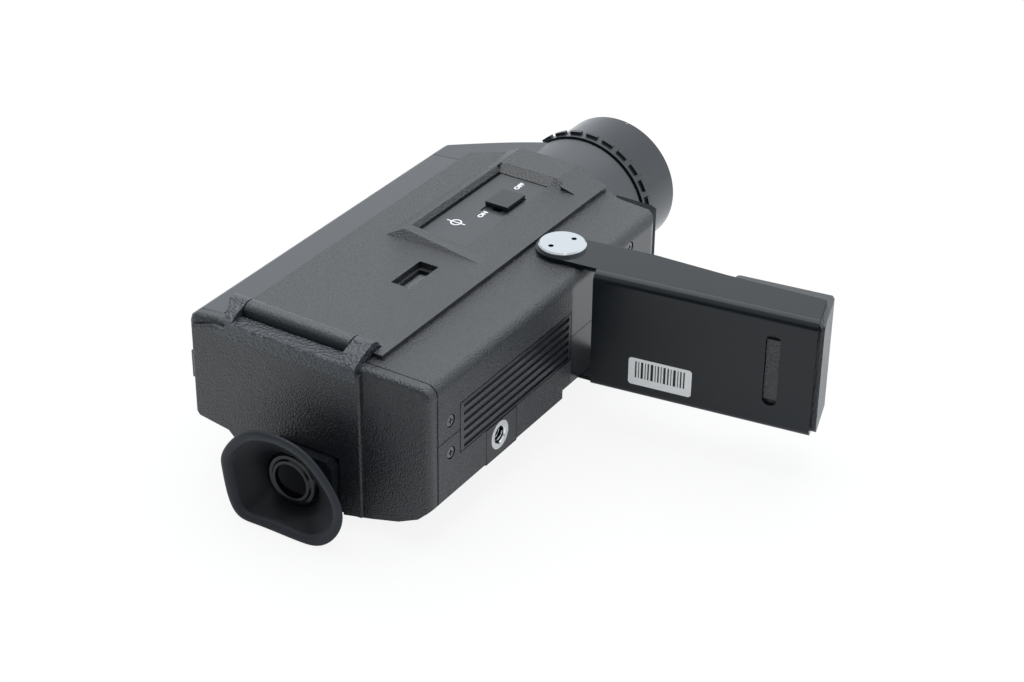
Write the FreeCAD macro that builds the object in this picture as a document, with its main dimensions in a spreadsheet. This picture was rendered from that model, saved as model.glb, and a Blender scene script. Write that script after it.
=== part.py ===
import FreeCAD, Part
import Sketcher
import math
import os
import re

# Cartridge home-movie camera with a folding grip, lying on its left side.
# Every piece is drawn in the camera's own axes: X runs forward from the seam of the rear door,
# Y runs up from the underside, Z runs to the right from the parting plane of the two shells.
# One shared placement then lays the camera on the table, with the origin under its middle.

SIZES = {
    # Where the camera's axes lie in the part's frame
    "frame_back": -83.3,
    "frame_down": -5.9,
    "rest_height": 38.3,
    # Casing
    "wall": 2.0,
    "chin_front": 136.4,
    "brow_front": 138.0,
    "brow_high": 16.0,
    "brow_round": 12.0,
    "nose_front": 146.2,
    "nose_low": 33.0,
    "nose_high": 70.7,
    "nose_round": 5.0,
    "crown_front": 139.6,
    "right_face": 22.0,
    "left_face": 18.5,
    "cover_low": 80.0,
    "cover_front": 133.5,
    "body_high": 93.8,
    "long_edge_round": 4.0,
    "plateau_rear": 4.0,
    "plateau_low": 23.2,
    "plateau_high": 78.3,
    "plateau_front": 136.8,
    "plateau_rise": 1.5,
    "crest": 26.0,
    "crest_low": 61.6,
    "crest_high": 62.2,
    "wedge_rear": 69.5,
    "wedge_crest_rear": 72.5,
    "wedge_low": 30.0,
    "block_low": 38.0,
    # Switch panel and film window
    "recess_rear": 76.0,
    "recess_front": 129.5,
    "recess_low": 39.5,
    "recess_high": 60.2,
    "recess_floor": 23.0,
    "recess_slope_low": 24.4,
    "scoop_front": 133.0,
    "scoop_low": 35.0,
    "switch_plate_thick": 0.6,
    "knob_rear": 104.6,
    "knob_front": 117.0,
    "knob_low": 41.5,
    "knob_high": 50.3,
    "window_rear": 45.0,
    "window_front": 58.7,
    "window_low": 41.0,
    "window_high": 46.4,
    "window_ledge": 1.6,
    "window_lip": 1.0,
    # Finder housing and battery belly on the left
    "finder_low": 36.0,
    "finder_high": 60.0,
    "finder_axis_high": 47.0,
    "finder_axis_deep": 22.0,
    "finder_front": 137.0,
    "belly_front": 75.0,
    # Lens
    "lens_high": 46.2,
    "barrel_radius": 26.0,
    "barrel_front": 163.8,
    "barrel_rear": 150.0,
    "barrel_tail_radius": 15.5,
    "barrel_bore": 12.0,
    "shroud_wall": 2.0,
    "shroud_front": 163.3,
    "barrel_neck_radius": 21.6,
    "barrel_neck_front": 172.0,
    "ring_rear": 164.1,
    "ring_radius": 26.7,
    "notch_rear": 166.6,
    "notch_front": 168.2,
    "notch_radius": 27.6,
    "notch_count": 25,
    "notch_wide": 2.3,
    "hood_front": 188.6,
    "hood_radius": 24.9,
    "hood_wall": 1.6,
    # Rear door and its hinge
    "door_rear": 4.0,
    "door_round": 2.0,
    "door_panel_rear": 5.5,
    "door_panel_low": 25.5,
    "door_panel_high": 91.8,
    "door_panel_right": 19.8,
    "door_panel_round": 0.8,
    "cutout_low": 34.0,
    "cutout_high": 61.0,
    "cutout_right": -13.3,
    "hinge_forward": 4.7,
    "hinge_right": 22.8,
    "hinge_radius": 3.7,
    "hinge_pin_radius": 1.0,
    "hinge_low": 27.0,
    "hinge_barrel_low": 34.3,
    "hinge_barrel_high": 75.0,
    "hinge_high": 82.0,
    "hinge_gap": 0.5,
    "bar_front": 0.8,
    "bar_low": 17.2,
    "bar_top": 22.4,
    "bar_slant": 0.5,
    "ear_corner": 3.2,
    "latch_rear": -2.4,
    "latch_front": 14.0,
    "latch_wide": 10.0,
    "latch_lift": 0.05,
    "latch_thick": 0.95,
    # Eyepiece
    "eyepiece_rear": 9.0,
    "eyepiece_right": -14.0,
    "eyepiece_ring_radius": 9.6,
    "eyecup_rear": 22.0,
    "finder_tube_radius": 4.6,
    "finder_tube_rear": 11.8,
    "finder_tube_front": 60.0,
    "finder_tube_wall": 0.8,
    "eyepiece_bore": 6.2,
    # Film chamber
    "chamber_rear": 9.0,
    "chamber_front": 88.5,
    "chamber_low": 19.5,
    "chamber_high": 90.0,
    "chamber_left": 6.0,
    "chamber_right": 18.0,
    "liner_wall": 1.2,
    # Underside
    "battery_rear": 12.5,
    "battery_front": 79.8,
    "battery_left": 8.9,
    "battery_right": 9.7,
    "battery_lid": 1.8,
    "groove_count": 6,
    "groove_pitch": 2.97,
    "cell_radius": 7.1,
    "cell_length": 50.0,
    "tripod_forward": 35.9,
    "tripod_left": 14.75,
    "tripod_bush_radius": 5.0,
    "tripod_thread_radius": 2.6,
    "tripod_depth": 6.0,
    "screw_head": 2.0,
    "screw_shank": 1.2,
    "rear_screw_forward": 7.5,
    "rear_screw_side": 5.9,
    "front_screw_forward": 118.0,
    "front_screw_side": 16.5,
    "button_high": 10.0,
    "button_right": 2.0,
    "button_radius": 4.0,
    "button_rear": 134.0,
    "button_long": 11.0,
    "front_plate_front": 140.8,
    "front_plate_right": 21.6,
    "front_plate_left": 17.5,
    # Grip
    "pivot_forward": 94.9,
    "pivot_high": 13.2,
    "pivot_radius": 8.2,
    "pivot_thick": 1.5,
    "pivot_chamfer": 0.5,
    "pivot_pin_radius": 3.0,
    "grip_tilt": 8.2,
    "grip_sheet": 1.5,
    "grip_gap": 0.2,
    "grip_bend": 2.0,
    "grip_eye": 9.0,
    "grip_back": 9.4,
    "grip_web": 12.8,
    "grip_start": 16.4,
    "grip_end": 92.0,
    "grip_slant": 0.144,
    "grip_front_wide": 7.6,
    "grip_front_middle": 4.9,
    "grip_front_narrow": 3.1,
    "slot_start": 77.0,
    "slot_end": 82.0,
    "slot_left": 10.8,
    "slot_right": 16.0,
    "slot_round": 2.4,
    "core_start": 59.0,
    "core_end": 94.0,
    "core_front": 10.3,
    "core_back_round": 2.3,
    "core_front_round": 1.5,
    # Mechanism
    "chassis_rear": 89.8,
    "chassis_thick": 1.5,
    "shutter_high": 60.2,
    "train_right": 2.0,
    "shutter_radius": 15.5,
    "gear_module": 0.5,
    "gear_rear": 93.3,
    "gear_thick": 2.5,
    "pinion_teeth": 12,
    "idler_teeth": 14,
    "shutter_teeth": 40,
    "worm_gear_teeth": 16,
    "take_up_teeth": 36,
    "shaft_radius": 1.0,
    "motor_high": 80.2,
    "idler_high": 73.7,
    "worm_high": 64.25,
    "worm_right": -11.4,
    "spindle_forward": 51.5,
    "spindle_high": 53.25,
    "motor_plate_rear": 100.3,
    "motor_plate_thick": 1.2,
    "motor_long": 25.0,
}

NODES = []
X_AXIS = FreeCAD.Vector(1, 0, 0)
Y_AXIS = FreeCAD.Vector(0, 1, 0)
Z_AXIS = FreeCAD.Vector(0, 0, 1)

doc = FreeCAD.newDocument("MovieCamera")
sheet = doc.addObject("Spreadsheet::Sheet", "Dims")
for row, (alias, number) in enumerate(SIZES.items(), start=1):
    sheet.set(f"A{row}", alias)
    sheet.set(f"B{row}", str(number))
    sheet.setAlias(f"B{row}", alias)
doc.recompute()


def size(alias):
    """The number that the sheet holds under this alias."""
    return float(getattr(sheet, alias))


def bound(text):
    """An expression on the sheet: every alias in the text gets the sheet's name."""
    return re.sub(r"[a-z][a-z_]*[a-z]", lambda found: "Dims." + found.group(0), str(text))


# Helpers for the bodies

def place(piece, label, forward="0", high="0", tilt=None):
    """Lay a piece in the part's frame, from the camera's own axes or from the tilted grip's."""
    piece.Label = label
    if tilt:
        piece.Placement.Rotation = FreeCAD.Rotation(Z_AXIS, size(tilt))
        piece.setExpression(".Placement.Rotation.Angle", bound(tilt))
    piece.setExpression(".Placement.Base.x", bound("frame_back + " + forward))
    piece.setExpression(".Placement.Base.y", bound("frame_down + " + high))
    piece.setExpression(".Placement.Base.z", bound("rest_height"))
    NODES.append(piece)


def new_body(label):
    body = doc.addObject("PartDesign::Body", label)
    place(body, label)
    return body


def new_grip_body(label):
    """A body of the grip: X across its plates, -Y down its length, origin on the pivot."""
    body = doc.addObject("PartDesign::Body", label)
    place(body, label, "pivot_forward", "pivot_high", "grip_tilt")
    return body


def new_sketch(body, plane, shift=(0, 0, 0)):
    """A sketch on one of the body's own planes, shifted in the sketch's own axes.

    XY sketches run along X and Y, YZ sketches along Y and Z, XZ sketches along X and Z
    with their normal to -Y.
    """
    sketch = body.newObject("Sketcher::SketchObject", body.Label + "_sketch")
    base = [item for item in body.Origin.OriginFeatures if item.Role == plane + "_Plane"][0]
    sketch.AttachmentSupport = [(base, "")]
    sketch.MapMode = "FlatFace"
    for axis, amount in zip("xyz", shift):
        sketch.setExpression("AttachmentOffset.Base." + axis, bound(amount))
    return sketch


def fix_point(sketch, edge, end, across, along):
    for kind, amount in (("DistanceX", across), ("DistanceY", along)):
        index = sketch.addConstraint(Sketcher.Constraint(kind, -1, 1, edge, end, 1.0))
        sketch.setExpression(f"Constraints[{index}]", bound(amount))


def add_outline(sketch, points):
    """A closed outline whose corners are expressions on the sheet."""
    first = sketch.GeometryCount
    count = len(points)
    step = 2 * math.pi / count
    corners = [FreeCAD.Vector(math.cos(step * turn), math.sin(step * turn), 0) for turn in range(count)]
    for start, end in zip(corners, corners[1:] + corners[:1]):
        sketch.addGeometry(Part.LineSegment(start, end), False)
    for corner, (across, along) in enumerate(points):
        following = first + (corner + 1) % count
        sketch.addConstraint(Sketcher.Constraint("Coincident", first + corner, 2, following, 1))
        fix_point(sketch, first + corner, 1, across, along)


def add_circle(sketch, across, along, radius):
    circle = sketch.addGeometry(Part.Circle(FreeCAD.Vector(1, 1, 0), Z_AXIS, 1.0), False)
    fix_point(sketch, circle, 3, across, along)
    index = sketch.addConstraint(Sketcher.Constraint("Radius", circle, 1.0))
    sketch.setExpression(f"Constraints[{index}]", bound(radius))


def box_outline(low_across, low_along, high_across, high_along):
    return [
        (low_across, low_along),
        (high_across, low_along),
        (high_across, high_along),
        (low_across, high_along),
    ]


def draw(sketch, shapes):
    """Outlines are lists of corners, circles are tuples of centre and radius."""
    for shape in shapes:
        if isinstance(shape, tuple):
            add_circle(sketch, *shape)
        else:
            add_outline(sketch, shape)


def add_feature(body, kind, sketch, amounts, settings):
    feature = body.newObject("PartDesign::" + kind, body.Label + "_" + kind.lower())
    feature.Profile = sketch
    for name, amount in amounts.items():
        feature.setExpression(name, bound(amount))
    for name, value in settings.items():
        setattr(feature, name, value)
    sketch.Visibility = False
    return feature


def pad(body, plane, start, length, *shapes):
    """Add material from a plane at `start`, `length` along the plane's normal."""
    sketch = new_sketch(body, plane, (0, 0, start))
    draw(sketch, shapes)
    return add_feature(body, "Pad", sketch, {"Length": length}, {})


def pocket(body, plane, start, length, *shapes):
    """Cut from a plane at `start`, `length` along the plane's normal."""
    sketch = new_sketch(body, plane, (0, 0, start))
    draw(sketch, shapes)
    return add_feature(body, "Pocket", sketch, {"Length": length}, {"Reversed": True})


def turn_on(body, kind, plane, shift, axis, *shapes):
    """Revolve outlines about the sketch's own horizontal or vertical axis."""
    sketch = new_sketch(body, plane, shift)
    draw(sketch, shapes)
    feature = add_feature(body, kind, sketch, {}, {"Angle": 360.0})
    feature.ReferenceAxis = (sketch, [axis])
    return feature


def round_off(body, kind, amount, test):
    """Fillet or chamfer those edges of the body's tip that pass the test."""
    doc.recompute()
    tip = body.Tip
    names = [f"Edge{number}" for number, edge in enumerate(tip.Shape.Edges, start=1) if test(edge)]
    if not names:
        raise RuntimeError("no edge found on " + body.Label)
    feature = body.newObject("PartDesign::" + kind, body.Label + "_" + kind.lower())
    feature.Base = (tip, names)
    feature.setExpression("Radius" if kind == "Fillet" else "Size", bound(amount))
    doc.recompute()
    return feature


def runs_along(edge, axis):
    if not isinstance(edge.Curve, Part.Line):
        return False
    return abs(abs(edge.Curve.Direction.dot(axis)) - 1) < 1e-6


def passes(edge, **places):
    """True where the edge's middle lies at the places given for x, y or z."""
    middle = edge.BoundBox.Center
    return all(abs(getattr(middle, axis) - place) < 0.05 for axis, place in places.items())


def fixed_shape(label, shape):
    """A piece whose shape is worked out here from the sheet's sizes."""
    piece = doc.addObject("Part::Feature", label)
    piece.Shape = shape
    place(piece, label)
    return piece


def round_piece(label, plane, shift, axis, outline):
    body = new_body(label)
    turn_on(body, "Revolution", plane, shift, axis, outline)
    return body


LENS_AXIS = (0, "lens_high", 0)
FINDER_AXIS = (0, "finder_axis_high", "0 - finder_axis_deep")


# Outlines that several pieces of the casing share
body_plan = [
    (0, 0),
    ("chin_front", 0),
    ("brow_front", "brow_high"),
    ("nose_front", "nose_low"),
    ("nose_front", "nose_high"),
    ("crown_front", "cover_low"),
    (0, "cover_low"),
]
cavity_plan = [
    ("wall", "wall"),
    ("chin_front - wall", "wall"),
    ("brow_front - 1.3 * wall", "brow_high"),
    ("nose_front - 1.3 * wall", "nose_low"),
    ("nose_front - wall", "nose_high - 1"),
    ("crown_front - wall", "cover_low"),
    ("wall", "cover_low"),
]
crown_section = [
    (91.5, 20.6),
    (93.2, 19.4),
    ("body_high", 17.5),
    ("body_high", -16.5),
    (93.2, -18.2),
    (91.5, -19.2),
]
run_hole = ("button_high", "button_right", "button_radius + 0.1")
belly_side = [
    (0, -21.7),
    (5, -26.6),
    (12.5, -30.3),
    (23.5, -33.4),
]


def round_front(shell):
    """Round the upright edges of a shell's front: below, at the brow and at the nose."""
    for amount, forward, high in (("nose_round", "nose_front", "nose_low"),
                                  ("brow_round", "brow_front", "brow_high")):
        spot = {"x": size(forward), "y": size(high)}
        round_off(shell, "Fillet", amount, lambda edge: runs_along(edge, Z_AXIS) and passes(edge, **spot))


# Right shell: grained half of the casing, with plateau, raised wedge, switch recess and film window
right_shell = new_body("right_shell")
pad(right_shell, "XY", 0, "right_face", body_plan)
pad(right_shell, "XY", "right_face", "plateau_rise", [
    ("plateau_rear", "plateau_low"),
    ("nose_front", "plateau_low"),
    ("nose_front", "nose_high - 4.7"),
    ("plateau_front", "plateau_high"),
    ("plateau_rear", "plateau_high"),
])
# The wedge rises from the plateau to a crest level with the lens barrel
pad(right_shell, "YZ", "wedge_rear", "nose_front - wedge_rear", [
    ("wedge_low", "right_face"),
    ("nose_high", "right_face"),
    ("crest_high", "crest"),
    ("crest_low", "crest"),
    ("wedge_low", "right_face + plateau_rise"),
])
pocket(right_shell, "XZ", "0 - nose_high - 1", "nose_high - plateau_low + 2", [
    ("wedge_rear - 1", "right_face + plateau_rise"),
    ("wedge_rear", "right_face + plateau_rise"),
    ("wedge_crest_rear", "crest + 0.1"),
    ("wedge_rear - 1", "crest + 0.1"),
])
# Flat block between the switch recess and the lens, cut back along the brow
pad(right_shell, "YZ", "recess_front", "nose_front - recess_front", [
    ("wedge_low - 1", "right_face"),
    ("crest_low", "right_face"),
    ("crest_low", "crest"),
    ("block_low", "crest"),
    ("wedge_low - 1", "right_face + plateau_rise"),
])
pocket(right_shell, "XY", "right_face", "crest - right_face + 1", [
    ("brow_front", "brow_high"),
    ("nose_front", "nose_low"),
    ("nose_front + 1", "nose_low"),
    ("nose_front + 1", "brow_high"),
])
round_off(right_shell, "Fillet", "long_edge_round",
          lambda edge: (runs_along(edge, X_AXIS) and passes(edge, y=0, z=size("right_face")))
          or (runs_along(edge, Z_AXIS) and passes(edge, x=size("chin_front"), y=0)))
round_front(right_shell)
# Cavity, leaving a wall all round but open to the top cover
pocket(right_shell, "XY", 0, "right_face - wall", cavity_plan)
# Rear opening for the film cartridge
pocket(right_shell, "YZ", 0, "wall", box_outline(
    "chamber_low - liner_wall", 0, "cover_low", "chamber_right + liner_wall"))
# Hinge barrel of the casing, and room for the door's bar and ears beside it
pad(right_shell, "XZ", "0 - hinge_barrel_high", "hinge_barrel_high - hinge_barrel_low",
    ("hinge_forward", "hinge_right", "hinge_radius"))
pocket(right_shell, "XZ", "0 - cover_low", "cover_low - hinge_low + hinge_gap", box_outline(
    -1, "bar_low - 0.2", "bar_front + 0.1", "crest + 2"))
for ear_high, ear_long in (("cover_low", "cover_low - hinge_barrel_high"),
                           ("hinge_barrel_low", "hinge_barrel_low - hinge_low + hinge_gap")):
    pocket(right_shell, "XZ", "0 - " + ear_high, ear_long, (
        "hinge_forward", "hinge_right", "hinge_radius + 0.4"))
pocket(right_shell, "XZ", "0 - cover_low", "cover_low - hinge_low", (
    "hinge_forward", "hinge_right", "hinge_pin_radius + 0.05"))
# Recess of the switch panel: sloped above and in front, with a hole under its knob
pocket(right_shell, "XY", "recess_floor", 5, box_outline(
    "recess_rear", "recess_low", "recess_front", "recess_high"))
pocket(right_shell, "YZ", "recess_rear", "recess_front - recess_rear", [
    ("recess_high", "recess_slope_low"),
    ("crest_low", "crest + 0.1"),
    ("recess_high", "crest + 0.1"),
])
pocket(right_shell, "XZ", "0 - crest_low", "crest_low - scoop_low", [
    ("recess_front", "recess_floor + 0.6"),
    ("scoop_front", "crest + 0.1"),
    ("recess_front", "crest + 0.1"),
])
pocket(right_shell, "XY", "right_face - wall", 5, box_outline(96, 43, 120, 49))
# Stepped window over the cartridge
pocket(right_shell, "XY", "right_face - 0.7", 5, box_outline(
    "window_rear - window_ledge", "window_low - window_lip",
    "window_front + window_ledge", "window_high + window_lip"))
pocket(right_shell, "XY", "right_face - wall", 5, box_outline(
    "window_rear", "window_low", "window_front", "window_high"))
# Seat of the battery lid and hole for the right pivot screw
pocket(right_shell, "XZ", "0 - wall", "wall", box_outline(
    "battery_rear", 0, "battery_front", "battery_right"))
# The barrel and the run button pass through the front wall
pocket(right_shell, "YZ", "brow_front", "nose_front - brow_front", ("lens_high", 0, "barrel_tail_radius"))
pocket(right_shell, "YZ", "chin_front - wall - 1", "wall + 3", run_hole)
# Countersinks of the case screws in the underside
pocket(right_shell, "XZ", -1, 1,
       ("rear_screw_forward", "rear_screw_side", "screw_head + 0.2"),
       ("front_screw_forward", "front_screw_side", "screw_head + 0.2"))
pocket(right_shell, "XZ", "0 - wall", "wall",
       ("rear_screw_forward", "rear_screw_side", "screw_shank"),
       ("front_screw_forward", "front_screw_side", "screw_shank"))
pocket(right_shell, "XY", "right_face - wall", 5, ("pivot_forward", "pivot_high", "pivot_pin_radius"))

# Left shell: with the finder housing along its side and the battery belly behind
left_shell = new_body("left_shell")
pad(left_shell, "XY", "0 - left_face", "left_face", body_plan)
round_off(left_shell, "Fillet", "long_edge_round",
          lambda edge: runs_along(edge, Z_AXIS) and passes(edge, x=size("chin_front"), y=0))
round_front(left_shell)
pad(left_shell, "YZ", 0, "belly_front", [(0, "0.1 - left_face")] + belly_side + [
    ("finder_low", -36.2),
    ("finder_low", "0.1 - left_face"),
])
pad(left_shell, "YZ", 0, "finder_front", [
    (30, "0.1 - left_face"),
    ("finder_low - 1", -35.9),
    ("finder_low + 2", "0 - rest_height"),
    ("finder_high", "0 - rest_height"),
    ("finder_high + 4", "1.5 - rest_height"),
    ("cover_low - 0.1", -20.8),
    ("cover_low - 0.1", "0.1 - left_face"),
])
pocket(left_shell, "XY", "wall - left_face", "left_face - wall", cavity_plan)
# Cavities of the belly and of the finder housing
pocket(left_shell, "YZ", "wall", "belly_front - 2 * wall", [
    ("wall", "wall - left_face + 0.1"),
    ("wall + 0.5", -20.5),
    (6, -24.8),
    (13, -28.2),
    (24, -31.3),
    ("finder_low", -33),
    ("finder_low", "wall - left_face + 0.1"),
])
pocket(left_shell, "YZ", "wall", "finder_front - 2 * wall", [
    ("finder_low - 2", "wall - left_face + 0.1"),
    ("finder_low + 1", "wall - rest_height + 1"),
    ("finder_low + 3", "wall - rest_height"),
    ("finder_high", "wall - rest_height"),
    ("finder_high + 3", "wall - rest_height + 2"),
    (74, "wall - left_face + 0.1"),
])
# Rear opening beside the film chamber, finder windows at both ends
pocket(left_shell, "YZ", 0, "wall", box_outline(
    "chamber_low - liner_wall", "0 - chamber_left - liner_wall", "cover_low", 0))
pocket(left_shell, "YZ", 0, "wall", ("finder_axis_high", "0 - finder_axis_deep", "finder_tube_radius + 0.05"))
pocket(left_shell, "YZ", "finder_front - wall", "wall", box_outline(
    40, "4 - rest_height", 56, "16 - rest_height"))
# Seats of the tripod block and of the battery lid, hole for the left pivot screw
pocket(left_shell, "XZ", "0 - wall - 6", "wall + 6", box_outline(27.7, -22.3, 46, "0 - battery_left"))
pocket(left_shell, "XZ", "0 - wall", "wall", box_outline(
    "battery_rear", "0 - battery_left", "battery_front", 0))
pocket(left_shell, "XY", "0 - left_face", "wall", ("pivot_forward", "pivot_high", "pivot_pin_radius"))
pocket(left_shell, "YZ", "brow_front", "nose_front - brow_front", ("lens_high", 0, "barrel_tail_radius"))
pocket(left_shell, "YZ", "chin_front - wall - 1", "wall + 3", run_hole)
pocket(left_shell, "XZ", -1, 1, ("rear_screw_forward", "0 - rear_screw_side", "screw_head + 0.2"))
pocket(left_shell, "XZ", "0 - wall", "wall", ("rear_screw_forward", "0 - rear_screw_side", "screw_shank"))

# Top cover: smooth band along the top, from the rear door to the front cover
top_cover = new_body("top_cover")
pad(top_cover, "YZ", 0, "cover_front", [("cover_low", -19.2), ("cover_low", 21.7)] + crown_section)
pocket(top_cover, "YZ", "wall", "cover_front", [
    ("cover_low - 1", -17.4),
    ("cover_low - 1", "right_face - wall"),
    (90.8, "right_face - wall"),
    (91.8, 18.7),
    (91.8, -16.5),
    (90.8, -17.4),
])
pocket(top_cover, "YZ", 0, "wall", box_outline(
    "cover_low", "0 - chamber_left - liner_wall", "chamber_high + liner_wall", "chamber_right + liner_wall"))
pocket(top_cover, "XZ", "0 - hinge_high - hinge_gap", 6, box_outline(
    -1, "bar_low - 0.2", "bar_front + 0.1", "crest + 2"))
pocket(top_cover, "XZ", "0 - hinge_high - hinge_gap", 6, (
    "hinge_forward", "hinge_right", "hinge_radius + 0.4"))

# Front cover: smooth nose, flat above and round about the lens barrel
front_cover = new_body("front_cover")
pad(front_cover, "YZ", "cover_front", "shroud_front - cover_front",
    [("lens_high + 14", -19.2), ("lens_high + 14", 21.7)] + crown_section)
turn_on(front_cover, "Groove", "XY", LENS_AXIS, "H_Axis", [
    (130, 64.7),
    ("barrel_front", 25),
    ("barrel_front", 90),
    (130, 90),
])
pad(front_cover, "YZ", "cover_front", "shroud_front - cover_front", ("lens_high", 0, "barrel_radius"))
pocket(front_cover, "XY", -30, 60, [
    (130, 10),
    ("chin_front", 10),
    ("brow_front", "brow_high"),
    ("nose_front", "nose_low"),
    ("nose_front", "nose_high"),
    ("crown_front", "cover_low"),
    (130, "cover_low"),
])
turn_on(front_cover, "Groove", "XY", LENS_AXIS, "H_Axis", [
    (130, 0),
    ("barrel_front", 0),
    ("barrel_front", "barrel_radius - shroud_wall"),
    ("barrel_rear - 0.05", "barrel_radius - shroud_wall"),
    ("barrel_rear - 0.05", "barrel_tail_radius"),
    (130, "barrel_tail_radius"),
])

# Front plate: gloss strip in front of the lower body, pierced for the run button
front_plate = new_body("front_plate")
pad(front_plate, "XY", "0 - front_plate_left", "front_plate_left + front_plate_right", [
    ("chin_front + 0.3", 2),
    ("front_plate_front - 1.3", 2),
    ("front_plate_front", 4.5),
    ("front_plate_front", 18.5),
    ("brow_front + 1.8", 18.5),
    ("brow_front + 0.3", "brow_high"),
])
pocket(front_plate, "YZ", "chin_front - 1", 6, run_hole)

# Run button: pressed rearward into the body
run_button = new_body("run_button")
pad(run_button, "YZ", "button_rear", "button_long", ("button_high", "button_right", "button_radius"))
run_switch = new_body("run_switch")
pad(run_switch, "YZ", 124, 6.5, box_outline(4, -4, 16, 8))

# Lens barrel: fixed tube with a tail in the casing and a neck that carries the focus ring
lens_barrel = round_piece("lens_barrel", "XY", LENS_AXIS, "H_Axis", [
    (140, "barrel_bore"),
    (140, "barrel_tail_radius - 0.05"),
    ("barrel_rear", "barrel_tail_radius - 0.05"),
    ("barrel_rear", "barrel_radius - shroud_wall - 0.05"),
    ("barrel_front", "barrel_radius - shroud_wall - 0.05"),
    ("barrel_front", "barrel_neck_radius"),
    ("barrel_neck_front", "barrel_neck_radius"),
    ("barrel_neck_front", "barrel_bore"),
])

# Focus ring: ribbed ring and lens hood in one piece
focus_ring = round_piece("focus_ring", "XY", LENS_AXIS, "H_Axis", [
    ("ring_rear", "barrel_neck_radius + 0.1"),
    ("ring_rear", "ring_radius"),
    ("notch_rear", "ring_radius"),
    ("notch_rear", "notch_radius"),
    ("notch_front", "notch_radius"),
    ("notch_front", "hood_radius"),
    ("hood_front", "hood_radius"),
    ("hood_front", "hood_radius - hood_wall"),
    (176, 20.5),
    (176, 14),
    ("barrel_neck_front + 0.5", 14),
    ("barrel_neck_front + 0.5", "barrel_neck_radius + 0.1"),
])
notch_sketch = new_sketch(focus_ring, "YZ", (0, 0, "notch_rear"))
draw(notch_sketch, [box_outline(
    "lens_high + ring_radius", "0 - notch_wide / 2", "lens_high + notch_radius + 1", "notch_wide / 2")])
notch = add_feature(focus_ring, "Pocket", notch_sketch, {"Length": "notch_front - notch_rear"},
                    {"Reversed": True})
ring_axis = new_sketch(focus_ring, "XY", LENS_AXIS)
ring_axis.addGeometry(Part.LineSegment(FreeCAD.Vector(0, 0, 0), FreeCAD.Vector(1, 0, 0)), True)
notches = focus_ring.newObject("PartDesign::PolarPattern", "focus_ring_notches")
notches.Originals = [notch]
notches.Axis = (ring_axis, ["H_Axis"])
notches.Angle = 360.0
notches.setExpression("Occurrences", bound("notch_count"))
focus_ring.Tip = notches


def lens_element(label, axis_high, axis_right, middle, radius, edge, bulge):
    """A lens with two equal domed faces, standing across the X axis."""
    dome = (radius ** 2 + bulge ** 2) / (2 * bulge)
    ball = Part.makeSphere(dome)
    front = ball.copy()
    front.translate(FreeCAD.Vector(middle + edge / 2 + bulge - dome, axis_high, axis_right))
    back = ball.copy()
    back.translate(FreeCAD.Vector(middle - edge / 2 - bulge + dome, axis_high, axis_right))
    start = FreeCAD.Vector(middle - radius, axis_high, axis_right)
    rim = Part.makeCylinder(radius, 2 * radius, start, X_AXIS)
    return fixed_shape(label, rim.common(front).common(back))


# Lens elements, each in its own cell
front_cell = round_piece("front_cell", "XY", LENS_AXIS, "H_Axis", [
    ("barrel_neck_front + 0.5", 11.5),
    ("barrel_neck_front + 0.5", 13.95),
    (176.05, 13.95),
    (176.05, 20.2),
    (177, 20.2),
    (180, 13),
    (180, 11.5),
])
front_lens = lens_element("front_lens", size("lens_high"), 0, 175.5, 11.45, 2.0, 1.4)
rear_cell = round_piece("rear_cell", "XY", LENS_AXIS, "H_Axis", [
    (142, 8),
    (142, "barrel_bore - 0.05"),
    (152, "barrel_bore - 0.05"),
    (152, 8),
])
rear_lens = lens_element("rear_lens", size("lens_high"), 0, 147, 7.95, 3.0, 1.2)

# Rear door: the whole rear wall, with a raised panel, hinge ears and a cut-out for the eyepiece
rear_door = new_body("rear_door")
pad(rear_door, "YZ", "0 - door_rear", "door_rear", [(0, "right_face")] + belly_side + [
    ("cutout_low", -35.9),
    ("cutout_low", "cutout_right"),
    ("cutout_high", "cutout_right"),
    ("cutout_high", "1.2 - rest_height"),
    (64, "1.5 - rest_height"),
    (79.9, -20.8),
] + crown_section[::-1] + [("cover_low", "right_face")])


def on_door_rim(edge, back):
    """An edge of the door's rear face, but none below or round the eyepiece."""
    middle = edge.BoundBox.Center
    beside_eyepiece = middle.y < size("cutout_high") + 0.1 and middle.z < size("cutout_right") + 0.1
    on_belly = middle.y < size("cutout_low") and middle.z < -size("left_face")
    return (edge.BoundBox.XLength < 0.001 and abs(middle.x + back) < 0.001
            and not (beside_eyepiece and middle.y > size("cutout_low") - 0.1) and not on_belly)


round_off(rear_door, "Fillet", "long_edge_round",
          lambda edge: runs_along(edge, X_AXIS) and passes(edge, y=0, z=size("right_face")))
round_off(rear_door, "Fillet", "door_round", lambda edge: on_door_rim(edge, size("door_rear")))
pad(rear_door, "YZ", "0 - door_panel_rear", "door_panel_rear - door_rear", [
    ("door_panel_low", "door_panel_right"),
    ("door_panel_low", -33.2),
    ("cutout_low", -33.8),
    ("cutout_low", "cutout_right"),
    ("cutout_high", "cutout_right"),
    ("cutout_high", "3.4 - rest_height"),
    (63, "3.6 - rest_height"),
    (78.8, -18.9),
    (90.6, -17.2),
    ("door_panel_high", -15.8),
    ("door_panel_high", 17),
    (83, "door_panel_right"),
])
round_off(rear_door, "Fillet", "door_panel_round", lambda edge: on_door_rim(edge, size("door_panel_rear")))
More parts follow.
